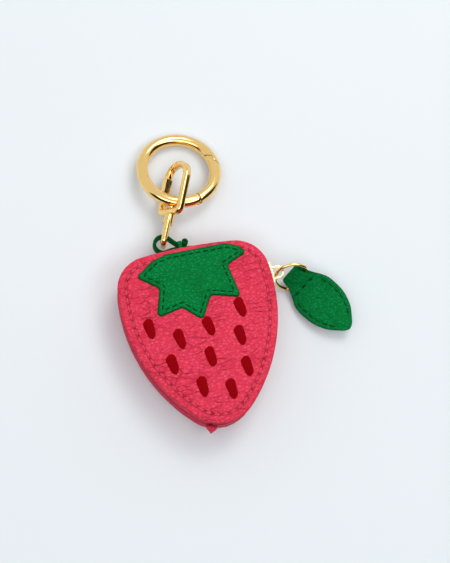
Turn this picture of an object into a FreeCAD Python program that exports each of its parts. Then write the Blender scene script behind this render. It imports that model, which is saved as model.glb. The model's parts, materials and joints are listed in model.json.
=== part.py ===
import FreeCAD, Part
import math
import os
from FreeCAD import Vector

# Strawberry-shaped leather zip pouch keychain, lying on its back panel.
# Working frame, in mm: +Z up through the pouch, +Y from its tip to its leafy top, X=0 on its middle line.
# place_all() moves everything so that the origin is the middle of the bottom of the overall box.

# Pouch outline: flat-topped strawberry made of tangent arcs
SIDE_RADIUS = 67.1
SIDE_CENTRE = Vector(-35.9, 16.2, 0)
SHOULDER_RADIUS = 13.5
SHOULDER_Y = 22.0
TOP_Y = 36.4
TIP_Y = -36.2

# Pouch layers, heights above the table
LEATHER = 1.4
BACK_PANEL = 1.6
FRONT_UNDER = 16.2
FRONT_TOP = 17.8
MID_Z = 9.6
ZIP_HALF = 1.7
ROW_GAP = 0.55
FOLD_GAP = 0.1
FOLD_INSET = 0.7
FOLD_LEATHER = 0.9
LINING = 0.5
LINING_INSET = 3.9
EDGE_ROUND = 0.7
CALYX = 1.2
CALYX_ROUND = 0.8
SEED_PROUD = 0.3
SEED_HALF_LENGTH = 4.0
SEED_HALF_WIDTH = 2.1
SEED_TURN = 98.0

# Zip: coil rows, tapes and the stretch of the outline that they cover
COIL_OUTER = 0.2
TAPE = 0.5
TAPE_REACH = 4.0
ZIP_TOP_ANGLE = 8.6
ZIP_TAB_X = -5.0
TAB_HALF_WIDTH = 2.2
TAB_POINT = 2.3
TAB_CLEAR = 0.25
TAB_BELOW = 3.5
TAB_ABOVE = 1.0

# Slider, in arc terms about SIDE_CENTRE
SLIDER_ANGLE = 3.7
SLIDER_LENGTH = 8.6
SLIDER_WIDTH = 6.0
PLATE_OUT = 0.25
PLATE_TOP = 1.8
INNER_PLATE_IN = 2.3
INNER_PLATE_OUT = 3.3
POST = 0.9
POST_LENGTH = 2.6
BAIL_RISE = 4.9
BAIL_HALF_WIDTH = 0.5
BAIL_LENGTH = 5.6
BAIL_METAL = 1.0
BAIL_FOOT = 0.4
BAIL_SHOULDER = 0.2

# D-ring on the slider, and the leaf tab that hangs on its bar
D_WIRE = 0.65
D_WIDTH = 14.0
D_DEPTH = 9.8
D_CORNER = 1.4
D_APEX = Vector(35.2, 20.83, 10.0)
D_BAR_AXIS = Vector(0.561, 0.348, 0.751)
D_TO_APEX = Vector(-0.84, 0.346, 0.43)
LEAF_AXIS = Vector(0.527, -0.846, -0.010)
LEAF_LAYER = 1.1
LEAF_NECK = 10.2
LEAF_NECK_PLAY = 0.4
LEAF_FOLD_BACK = 4.4
LEAF_NECK_END = 8.0
LEAF_NECK_CLOSED = 1.0
LEAF_NECK_SLIT = 0.1
LEAF_LENGTH = 34.0

# Strap loop on the pouch's top wall
STRAP = 1.4
STRAP_WIDTH = 3.4
LOOP_CENTRE = Vector(-8.2, 41.2, 0)
LOOP_RADIUS = 3.4
KEEPER_X = -1.6
KEEPER_OUTER_Y = 39.7
KEEPER_INNER_Y = 38.1
KEEPER_WALL = 0.6
KEEPER_WIDTH = 1.6
KEEPER_CLEAR = 0.05
NUB_X = 0.4
NUB_RADIUS = 1.8
NUB_LIFT = 0.8
TAIL_END = Vector(5.0, 37.4, 0)

# Chain of gold fittings: one straight axis from the strap to the key ring
CHAIN_Z = 9.2
CHAIN_HEADING = 23.5
COLLAR = Vector(-3.4, 51.8, CHAIN_Z)
EYE_END = -11.4
EYE_HALF = 3.6
EYE_WIRE = 1.2
EYE_CORNER = 1.6
EYE_TILT = 3.0
EYE_NEAR = -2.6
COLLAR_RADIUS = 2.2
COLLAR_LENGTH = 4.0
RIVET_RADIUS = 1.0
RIVET_TAIL = 1.6
RIVET_HEAD_RADIUS = 1.6
RIVET_HEAD = 0.7
RIVET_PLAY = 0.1
RUNNING = 0.05

HOOK_BASE = 1.6
HOOK_FLOOR = 4.2
HOOK_END = 25.2
HOOK_OUTER = 7.0
HOOK_INNER = 4.7
HOOK_ARM = (HOOK_OUTER + HOOK_INNER) / 2
HOOK_BAR = HOOK_OUTER - HOOK_INNER
HOOK_CORNER = 3.0
HOOK_INNER_CORNER = 1.2
HOOK_DEPTH = 3.0
HOOK_TILT = 52.0
GATE_PIVOT = 10.6
GATE_NOSE = 18.2
GATE_EAR_GAP = 0.3
GATE_NOSE_GAP = 0.2
GATE_EYE_GAP = 0.05
SLOT = 1.5
SLOT_BACK = 1.7
SLOT_FRONT = 3.0
TONGUE = (-0.7, 0.2)
SPRING = (0.28, 0.7)
PIN_RADIUS = 0.45
PIN_PROUD = 0.1

RING_RADIUS = 15.3
RING_WIRE = 2.4
RING_CROSSING = 7.7
RING_PIVOT_DEG = 141.0
RING_JOINT_DEG = (30.0, 70.0)
RING_LIP_REACH = 19.5
RING_NOSE_REACH = 21.15
RING_PIN_RADIUS = 0.8
RING_GAP = 0.3
RING_SLOT = 1.7
RING_TONGUE = RING_WIRE - 0.25
RING_STEP = 0.1
RING_EAR_GAP = 0.25
RING_WEB_INSET = 0.3
RING_WEB_REACH = 3.2

UP = Vector(0, 0, 1)
ALONG = Vector(1, 0, 0)
CUT = 1.0


def polar(centre, radius, degrees):
    angle = math.radians(degrees)
    return centre + Vector(radius * math.cos(angle), radius * math.sin(angle), 0)


def unit(vector):
    return Vector(vector) / vector.Length


def placement(origin, x_axis, y_axis):
    """The placement that puts local X, Y and Z along x_axis, y_axis and their cross product."""
    x = unit(x_axis)
    z = unit(x.cross(y_axis))
    y = z.cross(x)
    matrix = FreeCAD.Matrix(
        x.x, y.x, z.x, origin.x,
        x.y, y.y, z.y, origin.y,
        x.z, y.z, z.z, origin.z,
        0, 0, 0, 1)
    return FreeCAD.Placement(matrix)


def placed(shape, place):
    moved = shape.copy()
    moved.Placement = place.multiply(moved.Placement)
    return moved


def segment(start, end):
    return Part.LineSegment(start, end).toShape()


def arc_between(centre, radius, from_deg, to_deg):
    middle = (from_deg + to_deg) / 2
    return Part.Arc(
        polar(centre, radius, from_deg),
        polar(centre, radius, middle),
        polar(centre, radius, to_deg)).toShape()


def prism(points, z_low, z_high):
    corners = [Vector(x, y, z_low) for x, y in points]
    face = Part.Face(Part.makePolygon(corners + corners[:1]))
    return face.extrude(Vector(0, 0, z_high - z_low))


def box(low, high):
    size = [high[i] - low[i] for i in range(3)]
    return Part.makeBox(size[0], size[1], size[2], Vector(*low))


# ---------------------------------------------------------------- outline

def outline_centres():
    """Centres and joining angles of the outline's arcs, right side, from tangency."""
    reach = SIDE_RADIUS - SHOULDER_RADIUS
    side_top = math.degrees(math.asin((SHOULDER_Y - SIDE_CENTRE.y) / reach))
    shoulder = polar(SIDE_CENTRE, reach, side_top)
    drop = SHOULDER_Y - TOP_Y
    top_radius = (SHOULDER_RADIUS ** 2 - shoulder.x ** 2 - drop ** 2) / (2 * (drop + SHOULDER_RADIUS))
    top = Vector(0, TOP_Y - top_radius, 0)
    shoulder_top = math.degrees(math.atan2(shoulder.y - top.y, shoulder.x - top.x))
    rise = TIP_Y - SIDE_CENTRE.y
    across = SIDE_CENTRE.x
    tip_radius = (SIDE_RADIUS ** 2 - across ** 2 - rise ** 2) / (2 * (rise + SIDE_RADIUS))
    tip = Vector(0, TIP_Y + tip_radius, 0)
    side_low = math.degrees(math.atan2(tip.y - SIDE_CENTRE.y, tip.x - SIDE_CENTRE.x))
    return {
        "side": (SIDE_CENTRE, SIDE_RADIUS, side_low, side_top),
        "shoulder": (shoulder, SHOULDER_RADIUS, side_top, shoulder_top),
        "top": (top, top_radius, shoulder_top, 180 - shoulder_top),
        "tip": (tip, tip_radius, -180 - side_low, side_low),
    }


OUTLINE = outline_centres()


def mirrored(arc):
    centre, radius, start, end = arc
    return Vector(-centre.x, centre.y, 0), radius, 180 - end, 180 - start


def outline(inset, z):
    """The strawberry outline moved inwards by inset, at height z."""
    right = [OUTLINE["tip"], OUTLINE["side"], OUTLINE["shoulder"], OUTLINE["top"]]
    left = [mirrored(OUTLINE["shoulder"]), mirrored(OUTLINE["side"])]
    edges = []
    for centre, radius, start, end in right + left:
        edges.append(arc_between(centre + UP * z, radius - inset, start, end))
    return Part.Wire(edges)


def plate(inset, z_low, z_high):
    return Part.Face(outline(inset, z_low)).extrude(UP * (z_high - z_low))


def wall(inset_out, inset_in, z_low, z_high):
    outer = plate(inset_out, z_low, z_high)
    return outer.cut(plate(inset_in, z_low - CUT, z_high + CUT))


def zip_tab_heading():
    """Direction of the zip's lower end, seen from the tip arc's centre, in degrees."""
    return -math.degrees(math.acos(ZIP_TAB_X / OUTLINE["tip"][1]))


def zip_side():
    """A prism over the stretch of outline that the zip covers, from the right shoulder to the tab."""
    tip_centre = OUTLINE["tip"][0]
    far_tab = polar(tip_centre, SIDE_RADIUS, zip_tab_heading())
    near_top = polar(SIDE_CENTRE, SIDE_RADIUS / 2, ZIP_TOP_ANGLE)
    far_top = polar(SIDE_CENTRE, SIDE_RADIUS * 2, ZIP_TOP_ANGLE)
    corners = [tip_centre, far_tab, Vector(far_top.x, far_tab.y, 0), far_top, near_top]
    return prism([(p.x, p.y) for p in corners], -CUT, FRONT_TOP + CUT)


# ---------------------------------------------------------------- pouch

def round_edges(solid, z, radius):
    edges = [e for e in solid.Edges if abs(e.BoundBox.ZMin - z) < 1e-6 and abs(e.BoundBox.ZMax - z) < 1e-6]
    return solid.makeFillet(radius, edges)


def back_panel():
    return round_edges(plate(0, 0, BACK_PANEL), 0, EDGE_ROUND)


def front_panel():
    return round_edges(plate(0, FRONT_UNDER, FRONT_TOP), FRONT_TOP, EDGE_ROUND)


def back_gusset():
    return wall(0, LEATHER, BACK_PANEL, MID_Z - ZIP_HALF)


def front_gusset():
    return wall(0, LEATHER, MID_Z + ZIP_HALF, FRONT_UNDER)


def back_lining():
    floor = plate(LEATHER, BACK_PANEL, BACK_PANEL + LINING)
    sides = wall(LINING_INSET, LINING_INSET + LINING, BACK_PANEL + LINING, MID_Z - ROW_GAP)
    return floor.fuse(sides)


def front_lining():
    roof = plate(LEATHER, FRONT_UNDER - LINING, FRONT_UNDER)
    sides = wall(LINING_INSET, LINING_INSET + LINING, MID_Z + ROW_GAP, FRONT_UNDER - LINING)
    return roof.fuse(sides)


def gusset_fold(z_low, z_high):
    """The set-back leather strip that makes the groove round the side without a zip."""
    return wall(FOLD_INSET, FOLD_INSET + FOLD_LEATHER, z_low, z_high).cut(zip_side())


def coil_row(z_low, z_high):
    return wall(COIL_OUTER, LEATHER, z_low, z_high).common(zip_side())


def zip_tape(z_low, z_high):
    return wall(LEATHER, LEATHER + TAPE, z_low, z_high).common(zip_side())


def zip_end_tab():
    """A small folded leather point over the zip's lower end."""
    centre, radius = OUTLINE["tip"][0], OUTLINE["tip"][1]
    outward = polar(Vector(), 1, zip_tab_heading())
    across = UP.cross(outward) * TAB_HALF_WIDTH
    foot = centre + outward * (radius + TAB_CLEAR)
    corners = [foot - across, foot + outward * TAB_POINT, foot + across]
    return prism([(p.x, p.y) for p in corners], MID_Z - TAB_BELOW, MID_Z + TAB_ABOVE)


def calyx_outline():
    """Five-pointed leafy cap: rounded points and notches, top edge along the pouch's top."""
    return [
        (-22.7, 27.3), (-14.6, 21.0), (-18.1, 9.3), (-7.4, 11.6), (-0.4, 5.1), (4.9, 14.5),
        (16.8, 11.2), (14.2, 25.5), (23.2, 29.2), (20.2, 32.6), (15.3, 34.6), (-9.4, 34.5), (-15.0, 32.7),
    ]


def calyx():
    solid = prism(calyx_outline(), FRONT_TOP, FRONT_TOP + CALYX)
    upright = [e for e in solid.Edges if e.BoundBox.ZLength > CALYX / 2]
    return solid.makeFillet(CALYX_ROUND, upright)


SEED_PLACES = [
    (-21.6, 5.9), (-10.9, -0.4), (-15.8, -9.8), (1.4, 2.4), (-0.5, -9.7),
    (-6.2, -20.7), (15.4, 7.5), (12.8, -3.6), (12.7, -16.3), (4.7, -23.8),
]


def seeds(cap):
    """Satin-stitched seeds, drop-shaped, proud of the front panel."""
    solids = []
    for x, y in SEED_PLACES:
        oval = Part.Ellipse(Vector(), SEED_HALF_LENGTH, SEED_HALF_WIDTH).toShape()
        seed = Part.Face(Part.Wire(oval)).extrude(UP * SEED_PROUD)
        seed.Placement = FreeCAD.Placement(Vector(x, y, FRONT_TOP), FreeCAD.Rotation(UP, SEED_TURN))
        solids += seed.cut(cap).Solids
    return Part.makeCompound(solids)


# ---------------------------------------------------------------- slider and pull

def slider_place():
    """Local X points out of the pouch, local Y along the zip towards its top, origin on the outline."""
    outward = polar(Vector(), 1, SLIDER_ANGLE)
    origin = polar(SIDE_CENTRE + UP * MID_Z, SIDE_RADIUS, SLIDER_ANGLE)
    return placement(origin, outward, UP.cross(outward))


def slider_slice(inner, outer, half_height, length):
    """A slice of tube about the side arc's centre, centred on the slider."""
    half_angle = math.degrees(length / 2 / SIDE_RADIUS)
    low = SLIDER_ANGLE - half_angle
    base = SIDE_CENTRE + UP * (MID_Z - half_height)
    solid = Part.makeCylinder(SIDE_RADIUS + outer, 2 * half_height, base, UP, 2 * half_angle)
    solid = solid.cut(Part.makeCylinder(SIDE_RADIUS + inner, 2 * (half_height + CUT), base - UP * CUT, UP))
    solid.rotate(SIDE_CENTRE, UP, low)
    return solid


def bail_block(foot, top, half_length, half_width, corner):
    """A block on the outer plate with its two outer corners rounded."""
    block = box((foot, -half_length, -half_width), (top, half_length, half_width))
    upright = [e for e in block.Edges if e.BoundBox.ZLength > half_width and e.BoundBox.XMin > top - half_width]
    return block.makeFillet(corner, upright)


def slider_bail():
    """The arch on the outer plate that holds the D-ring."""
    half = BAIL_LENGTH / 2
    top = PLATE_TOP + BAIL_RISE
    foot = PLATE_TOP - BAIL_FOOT
    arch = bail_block(foot, top, half, BAIL_HALF_WIDTH, half - BAIL_SHOULDER)
    half -= BAIL_METAL
    hole = bail_block(foot, top - BAIL_METAL, half, 2 * BAIL_HALF_WIDTH, half - BAIL_SHOULDER)
    return placed(arch.cut(hole), slider_place())


def zip_slider():
    outer_plate = slider_slice(PLATE_OUT, PLATE_TOP, SLIDER_WIDTH / 2, SLIDER_LENGTH)
    inner_plate = slider_slice(-INNER_PLATE_OUT, -INNER_PLATE_IN, SLIDER_WIDTH / 2, SLIDER_LENGTH)
    post = slider_slice(-INNER_PLATE_IN, PLATE_OUT, POST / 2, POST_LENGTH)
    return outer_plate.fuse([inner_plate, post, slider_bail()])


def pull_place():
    """Local origin at the bar's middle, local X towards the apex of the bow, local Y along the bar."""
    to_apex = unit(D_TO_APEX)
    return placement(D_APEX - to_apex * D_DEPTH, to_apex, D_BAR_AXIS)


def round_wire(edges, radius):
    """A round wire bent along a chain of tangent edges."""
    path = Part.Wire(edges)
    first = path.OrderedEdges[0]
    start = first.valueAt(first.FirstParameter)
    tangent = first.tangentAt(first.FirstParameter)
    profile = Part.Wire(Part.Circle(start, tangent, radius).toShape())
    return path.makePipeShell([profile], True, False)


def pull_ring():
    """A D of wire: a straight bar with rounded corners and a half-round bow."""
    half = D_WIDTH / 2
    bow = Vector(D_DEPTH - half, 0, 0)
    right = Vector(D_CORNER, half - D_CORNER, 0)
    left = Vector(D_CORNER, D_CORNER - half, 0)
    edges = [
        segment(Vector(), Vector(0, right.y, 0)),
        arc_between(right, D_CORNER, 180, 90),
        segment(Vector(right.x, half, 0), Vector(bow.x, half, 0)),
        arc_between(bow, half, 90, -90),
        segment(Vector(bow.x, -half, 0), Vector(left.x, -half, 0)),
        arc_between(left, D_CORNER, 270, 180),
        segment(Vector(0, left.y, 0), Vector()),
    ]
    return placed(round_wire(edges, D_WIRE), pull_place())


def leaf_place():
    """Local origin on the fold's outer edge, local X along the leaf, local Y along the D-ring's bar."""
    bar_middle = pull_place().Base
    bar_axis = unit(D_BAR_AXIS)
    along = LEAF_AXIS - bar_axis * LEAF_AXIS.dot(bar_axis)
    return placement(bar_middle - unit(along) * LEAF_FOLD_BACK, along, bar_axis)


def neck_loop(height, start, end, tail):
    """A long drop: round nose at the fold, tapering to the stitched end."""
    nose = start + height
    reach = LEAF_FOLD_BACK + D_WIRE + LEAF_NECK_PLAY
    edges = [
        arc_between(Vector(nose, 0, 0), height, 90, 270),
        segment(Vector(nose, -height, 0), Vector(reach, -height, 0)),
        segment(Vector(reach, -height, 0), Vector(end, -tail, 0)),
        segment(Vector(end, -tail, 0), Vector(end, tail, 0)),
        segment(Vector(end, tail, 0), Vector(reach, height, 0)),
        segment(Vector(reach, height, 0), Vector(nose, height, 0)),
    ]
    return Part.Face(Part.Wire(edges)).extrude(UP * LEAF_NECK)


def leaf_neck():
    """The folded neck: a flat loop of leather round the bar, closed where it is stitched."""
    inner = D_WIRE + LEAF_NECK_PLAY
    outer = neck_loop(inner + LEAF_LAYER, 0, LEAF_NECK_END, LEAF_LAYER)
    solid = outer.cut(neck_loop(inner, LEAF_LAYER, LEAF_NECK_END - LEAF_NECK_CLOSED, LEAF_NECK_SLIT))
    standing = placement(Vector(0, LEAF_NECK / 2, 0), ALONG, UP)
    return placed(solid, leaf_place().multiply(standing))


LEAF_STATIONS = [
    # distance from the fold, half width, twist back towards level (degrees), rise of the middle
    (LEAF_NECK_END, 7.4, 13, 0.0),
    (12.4, 9.3, 23, -0.3),
    (17.0, 9.7, 30, -0.6),
    (23.0, 8.9, 34, -0.9),
    (28.0, 6.6, 35, -1.1),
    (32.0, 3.2, 37, -1.2),
    (LEAF_LENGTH, 0.8, 38, -1.2),
]


def leaf_layer(low, high):
    """One leather layer of the leaf, between two heights in the leaf's own thickness."""
    sections = []
    for distance, half, twist, rise in LEAF_STATIONS:
        corners = [Vector(0, -half, low), Vector(0, half, low), Vector(0, half, high), Vector(0, -half, high)]
        section = Part.makePolygon(corners + corners[:1])
        turn = FreeCAD.Rotation(ALONG, -twist)
        section.Placement = FreeCAD.Placement(Vector(distance, 0, rise), turn)
        sections.append(section)
    return placed(Part.makeLoft(sections, True, True), leaf_place())


# ---------------------------------------------------------------- strap

def tangent_point(centre, radius, outside, side):
    """Where the line from an outside point touches a circle, on side +1 (left) or -1 (right)."""
    away = outside - centre
    heading = math.degrees(math.atan2(away.y, away.x))
    return heading + side * math.degrees(math.acos(radius / away.Length))


def strap_path():
    z = UP * CHAIN_Z
    upper = Vector(KEEPER_X, KEEPER_OUTER_Y, 0)
    lower = Vector(KEEPER_X, KEEPER_INNER_Y, 0)
    upper_deg = tangent_point(LOOP_CENTRE, LOOP_RADIUS, upper, 1)
    lower_deg = tangent_point(LOOP_CENTRE, LOOP_RADIUS, lower, -1) + 360
    leave = polar(LOOP_CENTRE, LOOP_RADIUS, upper_deg)
    join = polar(LOOP_CENTRE, LOOP_RADIUS, lower_deg)
    return leave + z, join + z, upper + z, lower + z, upper_deg, lower_deg


def strand(start, end):
    """A straight stretch of the strap, on edge."""
    run = end - start
    solid = box((0, -STRAP / 2, -STRAP_WIDTH / 2), (run.Length, STRAP / 2, STRAP_WIDTH / 2))
    return placed(solid, placement(start, run, UP.cross(run)))


def strap_loop():
    leave, join, upper, lower, upper_deg, lower_deg = strap_path()
    base = LOOP_CENTRE + UP * (CHAIN_Z - STRAP_WIDTH / 2)
    bend = Part.makeCylinder(LOOP_RADIUS + STRAP / 2, STRAP_WIDTH, base, UP, lower_deg - upper_deg)
    bend = bend.cut(Part.makeCylinder(LOOP_RADIUS - STRAP / 2, STRAP_WIDTH + 2 * CUT, base - UP * CUT, UP))
    bend.rotate(LOOP_CENTRE, UP, upper_deg)
    nub_middle = Vector(NUB_X, KEEPER_OUTER_Y + NUB_LIFT, CHAIN_Z)
    nub = Part.makeCylinder(NUB_RADIUS, STRAP_WIDTH, nub_middle - UP * (STRAP_WIDTH / 2), UP)
    pieces = [
        strand(leave, upper),
        strand(upper, nub_middle),
        nub,
        strand(join, lower),
        strand(lower, TAIL_END + UP * CHAIN_Z),
    ]
    return bend.fuse(pieces).removeSplitter()


def strap_keeper(strap):
    half = STRAP_WIDTH / 2 + KEEPER_WALL
    low_y = KEEPER_INNER_Y - STRAP / 2 - KEEPER_WALL
    high_y = KEEPER_OUTER_Y + STRAP / 2 + KEEPER_WALL
    x = KEEPER_X - KEEPER_WIDTH / 2
    band = box((x, low_y, CHAIN_Z - half), (x + KEEPER_WIDTH, high_y, CHAIN_Z + half))
    pouch = plate(-KEEPER_CLEAR, 0, FRONT_TOP)
    return band.cut(strap).cut(pouch)


# ---------------------------------------------------------------- gold chain

def chain_axis():
    return polar(Vector(), 1, 90 - CHAIN_HEADING)


def chain_right():
    axis = chain_axis()
    return Vector(axis.y, -axis.x, 0)


def eye_place():
    """Local X along the chain, local Y up the eye's plane, origin in the collar."""
    tilt = math.radians(EYE_TILT)
    up_plane = UP * math.cos(tilt) - chain_right() * math.sin(tilt)
    return placement(COLLAR, chain_axis(), up_plane)


def eye_loop():
    """A rectangular wire eye with rounded corners, closed by a bridge that carries the round collar."""
    half = EYE_HALF
    bend = EYE_END + EYE_CORNER
    edges = [
        segment(Vector(EYE_NEAR, half, 0), Vector(bend, half, 0)),
        arc_between(Vector(bend, half - EYE_CORNER, 0), EYE_CORNER, 90, 180),
        segment(Vector(EYE_END, half - EYE_CORNER, 0), Vector(EYE_END, EYE_CORNER - half, 0)),
        arc_between(Vector(bend, EYE_CORNER - half, 0), EYE_CORNER, 180, 270),
        segment(Vector(bend, -half, 0), Vector(EYE_NEAR, -half, 0)),
    ]
    wire = round_wire(edges, EYE_WIRE)
    bridge = Part.makeCylinder(EYE_WIRE, 2 * half, Vector(EYE_NEAR, -half, 0), Vector(0, 1, 0))
    caps = [Part.makeSphere(EYE_WIRE, Vector(EYE_NEAR, side * half, 0)) for side in (1, -1)]
    collar = Part.makeCylinder(COLLAR_RADIUS, COLLAR_LENGTH, Vector(EYE_NEAR, 0, 0), ALONG)
    bore = Part.makeCylinder(RIVET_RADIUS, 2 * HOOK_FLOOR, ALONG * -HOOK_FLOOR, ALONG)
    return placed(wire.fuse([bridge] + caps + [collar]).cut(bore).removeSplitter(), eye_place())


def swivel_rivet():
    """Turned rivet: its shank runs through the collar and the hook's base, its head stays in the hook."""
    head_from = HOOK_FLOOR + RIVET_PLAY
    shank = Part.makeCylinder(RIVET_RADIUS, head_from + RIVET_TAIL + RIVET_PLAY, ALONG * -RIVET_TAIL, ALONG)
    head = Part.makeCylinder(RIVET_HEAD_RADIUS, RIVET_HEAD, ALONG * head_from, ALONG)
    return placed(shank.fuse(head), eye_place())


def hook_place():
    """Local X along the chain, local Y across the hook's plane towards its high arm."""
    tilt = math.radians(HOOK_TILT)
    across = chain_right() * math.cos(tilt) + UP * math.sin(tilt)
    return placement(COLLAR, chain_axis(), across)


def hook_face(base, half, corner, end):
    """A long loop: square base with rounded corners, half-round far end."""
    centre = Vector(end - half, 0, 0)
    edges = [
        segment(Vector(base, corner - half, 0), Vector(base, half - corner, 0)),
        arc_between(Vector(base + corner, half - corner, 0), corner, 180, 90),
        segment(Vector(base + corner, half, 0), Vector(centre.x, half, 0)),
        arc_between(centre, half, 90, -90),
        segment(Vector(centre.x, -half, 0), Vector(base + corner, -half, 0)),
        arc_between(Vector(base + corner, corner - half, 0), corner, 270, 180),
    ]
    return Part.Face(Part.Wire(edges))


def hook_pivot():
    return Vector(GATE_PIVOT, -HOOK_ARM, 0)


def knuckle_pin(pivot, radius, half_depth):
    return Part.makeCylinder(radius, 2 * half_depth, pivot - UP * half_depth, UP)


def hook_body():
    half = HOOK_DEPTH / 2
    far = HOOK_END - HOOK_BAR
    outer = hook_face(HOOK_BASE, HOOK_OUTER, HOOK_CORNER, HOOK_END).extrude(UP * HOOK_DEPTH)
    inner = hook_face(HOOK_FLOOR, HOOK_INNER, HOOK_INNER_CORNER, far).extrude(UP * (HOOK_DEPTH + 2 * CUT))
    outer.translate(UP * -half)
    inner.translate(UP * (-half - CUT))
    pivot = hook_pivot()
    side = (-HOOK_OUTER - CUT, -HOOK_INNER + CUT / 2)
    gap = box((GATE_PIVOT, side[0], -half - CUT), (GATE_NOSE, side[1], half + CUT))
    ears = Part.makeCylinder(HOOK_BAR / 2, HOOK_DEPTH, pivot - UP * half, UP)
    slot = box((GATE_PIVOT - SLOT_BACK, side[0], -SLOT / 2), (GATE_PIVOT + SLOT_FRONT, side[1], SLOT / 2))
    bore = Part.makeCylinder(RIVET_RADIUS + RUNNING, HOOK_FLOOR + CUT, Vector(), ALONG)
    pin_hole = knuckle_pin(pivot, PIN_RADIUS, HOOK_DEPTH)
    body = outer.cut(inner).cut(gap).fuse(ears).cut(slot).cut(bore).cut(pin_hole)
    return placed(body.removeSplitter(), hook_place())


def hook_gate():
    half = HOOK_DEPTH / 2
    pivot = hook_pivot()
    start = GATE_PIVOT + HOOK_BAR / 2 + GATE_EAR_GAP
    outer = -HOOK_OUTER + GATE_EYE_GAP
    inner = -HOOK_INNER - GATE_EYE_GAP
    bar = box((start, -HOOK_OUTER, -half), (GATE_NOSE - GATE_NOSE_GAP, -HOOK_INNER, half))
    tongue = box((GATE_PIVOT, outer, TONGUE[0]), (start + GATE_EYE_GAP, inner, TONGUE[1]))
    eye = Part.makeCylinder(HOOK_BAR / 2 - GATE_EYE_GAP, TONGUE[1] - TONGUE[0], pivot + UP * TONGUE[0], UP)
    pin_hole = knuckle_pin(pivot, PIN_RADIUS + RUNNING, half)
    return placed(bar.fuse([tongue, eye]).cut(pin_hole).removeSplitter(), hook_place())


def hook_gate_pin():
    return placed(knuckle_pin(hook_pivot(), PIN_RADIUS, HOOK_DEPTH / 2 + PIN_PROUD), hook_place())


def torsion_spring(pivot, bore, outer, place):
    """A flat coil round a gate's pin, beside the gate's tongue."""
    height = SPRING[1] - SPRING[0]
    coil = Part.makeCylinder(outer, height, pivot + UP * SPRING[0], UP)
    return placed(coil.cut(knuckle_pin(pivot, bore, RING_WIRE)), place)


def hook_gate_spring():
    return torsion_spring(hook_pivot(), PIN_RADIUS + RUNNING, HOOK_BAR / 2 - PIN_PROUD, hook_place())


def ring_slope():
    return math.asin((CHAIN_Z - RING_WIRE) / (2 * RING_RADIUS))


def ring_place():
    """Local X from the ring's middle down its slope, away from the hook; local Z up out of its plane."""
    slope = ring_slope()
    down = chain_axis() * math.cos(slope) - UP * math.sin(slope)
    crossing = COLLAR + chain_axis() * RING_CROSSING
    return placement(crossing + down * RING_RADIUS, down, chain_right() * -1)


def ring_sector(from_deg, to_deg):
    """A stretch of the round ring, clockwise angles seen from above."""
    torus = Part.makeTorus(RING_RADIUS, RING_WIRE)
    reach = RING_RADIUS + RING_WIRE + CUT
    height = RING_WIRE + CUT
    wedge = Part.makeCylinder(reach, 2 * height, UP * -height, UP, to_deg - from_deg)
    wedge.rotate(Vector(), UP, -to_deg)
    return torus.common(wedge)


def ring_core(radius, centre):
    """A cylinder along the ring's axis, for parting the stepped joint where the gate closes."""
    height = RING_WIRE + CUT
    return Part.makeCylinder(radius, 2 * height, centre - UP * height, UP)


def ring_pivot():
    return polar(Vector(), RING_RADIUS, -RING_PIVOT_DEG)


def ring_body():
    """The fixed part: its end and its lip are cut along arcs about the gate's pin, so the gate clears them."""
    pivot = ring_pivot()
    joint_from, joint_to = RING_JOINT_DEG
    long_way = ring_sector(RING_PIVOT_DEG, 360 + joint_from)
    end = ring_sector(joint_from, joint_to).cut(ring_core(RING_NOSE_REACH + RING_GAP, pivot))
    lip = ring_sector(joint_from, joint_to).cut(ring_core(RING_LIP_REACH + RING_GAP, pivot))
    lip = lip.cut(ring_core(RING_RADIUS + RING_STEP, Vector()))
    ears = Part.makeSphere(RING_WIRE, pivot)
    slot = Part.makeCylinder(RING_WIRE + CUT / 2, RING_SLOT, pivot - UP * (RING_SLOT / 2), UP)
    hole = knuckle_pin(pivot, RING_PIN_RADIUS, RING_WIRE)
    body = long_way.fuse([end, lip, ears]).cut(slot).cut(hole)
    return placed(body.removeSplitter(), ring_place())


def ring_gate():
    """The sprung part: full wire as far as the lip, then its inner half as far as the fixed end."""
    pivot = ring_pivot()
    sweep = ring_sector(RING_JOINT_DEG[0], RING_PIVOT_DEG)
    bar = sweep.common(ring_core(RING_LIP_REACH, pivot))
    nose = sweep.common(ring_core(RING_NOSE_REACH, pivot)).common(ring_core(RING_RADIUS - RING_STEP, Vector()))
    clearance = Part.makeSphere(RING_WIRE + RING_EAR_GAP, pivot)
    along = Vector(-pivot.y, pivot.x, 0)
    half_web = RING_TONGUE - RING_WEB_INSET
    web = box((0, -half_web, TONGUE[0]), (RING_WEB_REACH, half_web, TONGUE[1]))
    web = placed(web, placement(pivot, along, UP.cross(along)))
    eye = Part.makeCylinder(RING_TONGUE, TONGUE[1] - TONGUE[0], pivot + UP * TONGUE[0], UP)
    hole = knuckle_pin(pivot, RING_PIN_RADIUS + RUNNING, RING_WIRE)
    gate = bar.fuse(nose).cut(clearance).fuse([web, eye]).cut(hole)
    return placed(gate.removeSplitter(), ring_place())


def ring_gate_pin():
    return placed(knuckle_pin(ring_pivot(), RING_PIN_RADIUS, RING_WIRE + PIN_PROUD), ring_place())


def ring_gate_spring():
    return torsion_spring(ring_pivot(), RING_PIN_RADIUS + RUNNING, RING_TONGUE - PIN_PROUD, ring_place())


# ---------------------------------------------------------------- assembly

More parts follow.
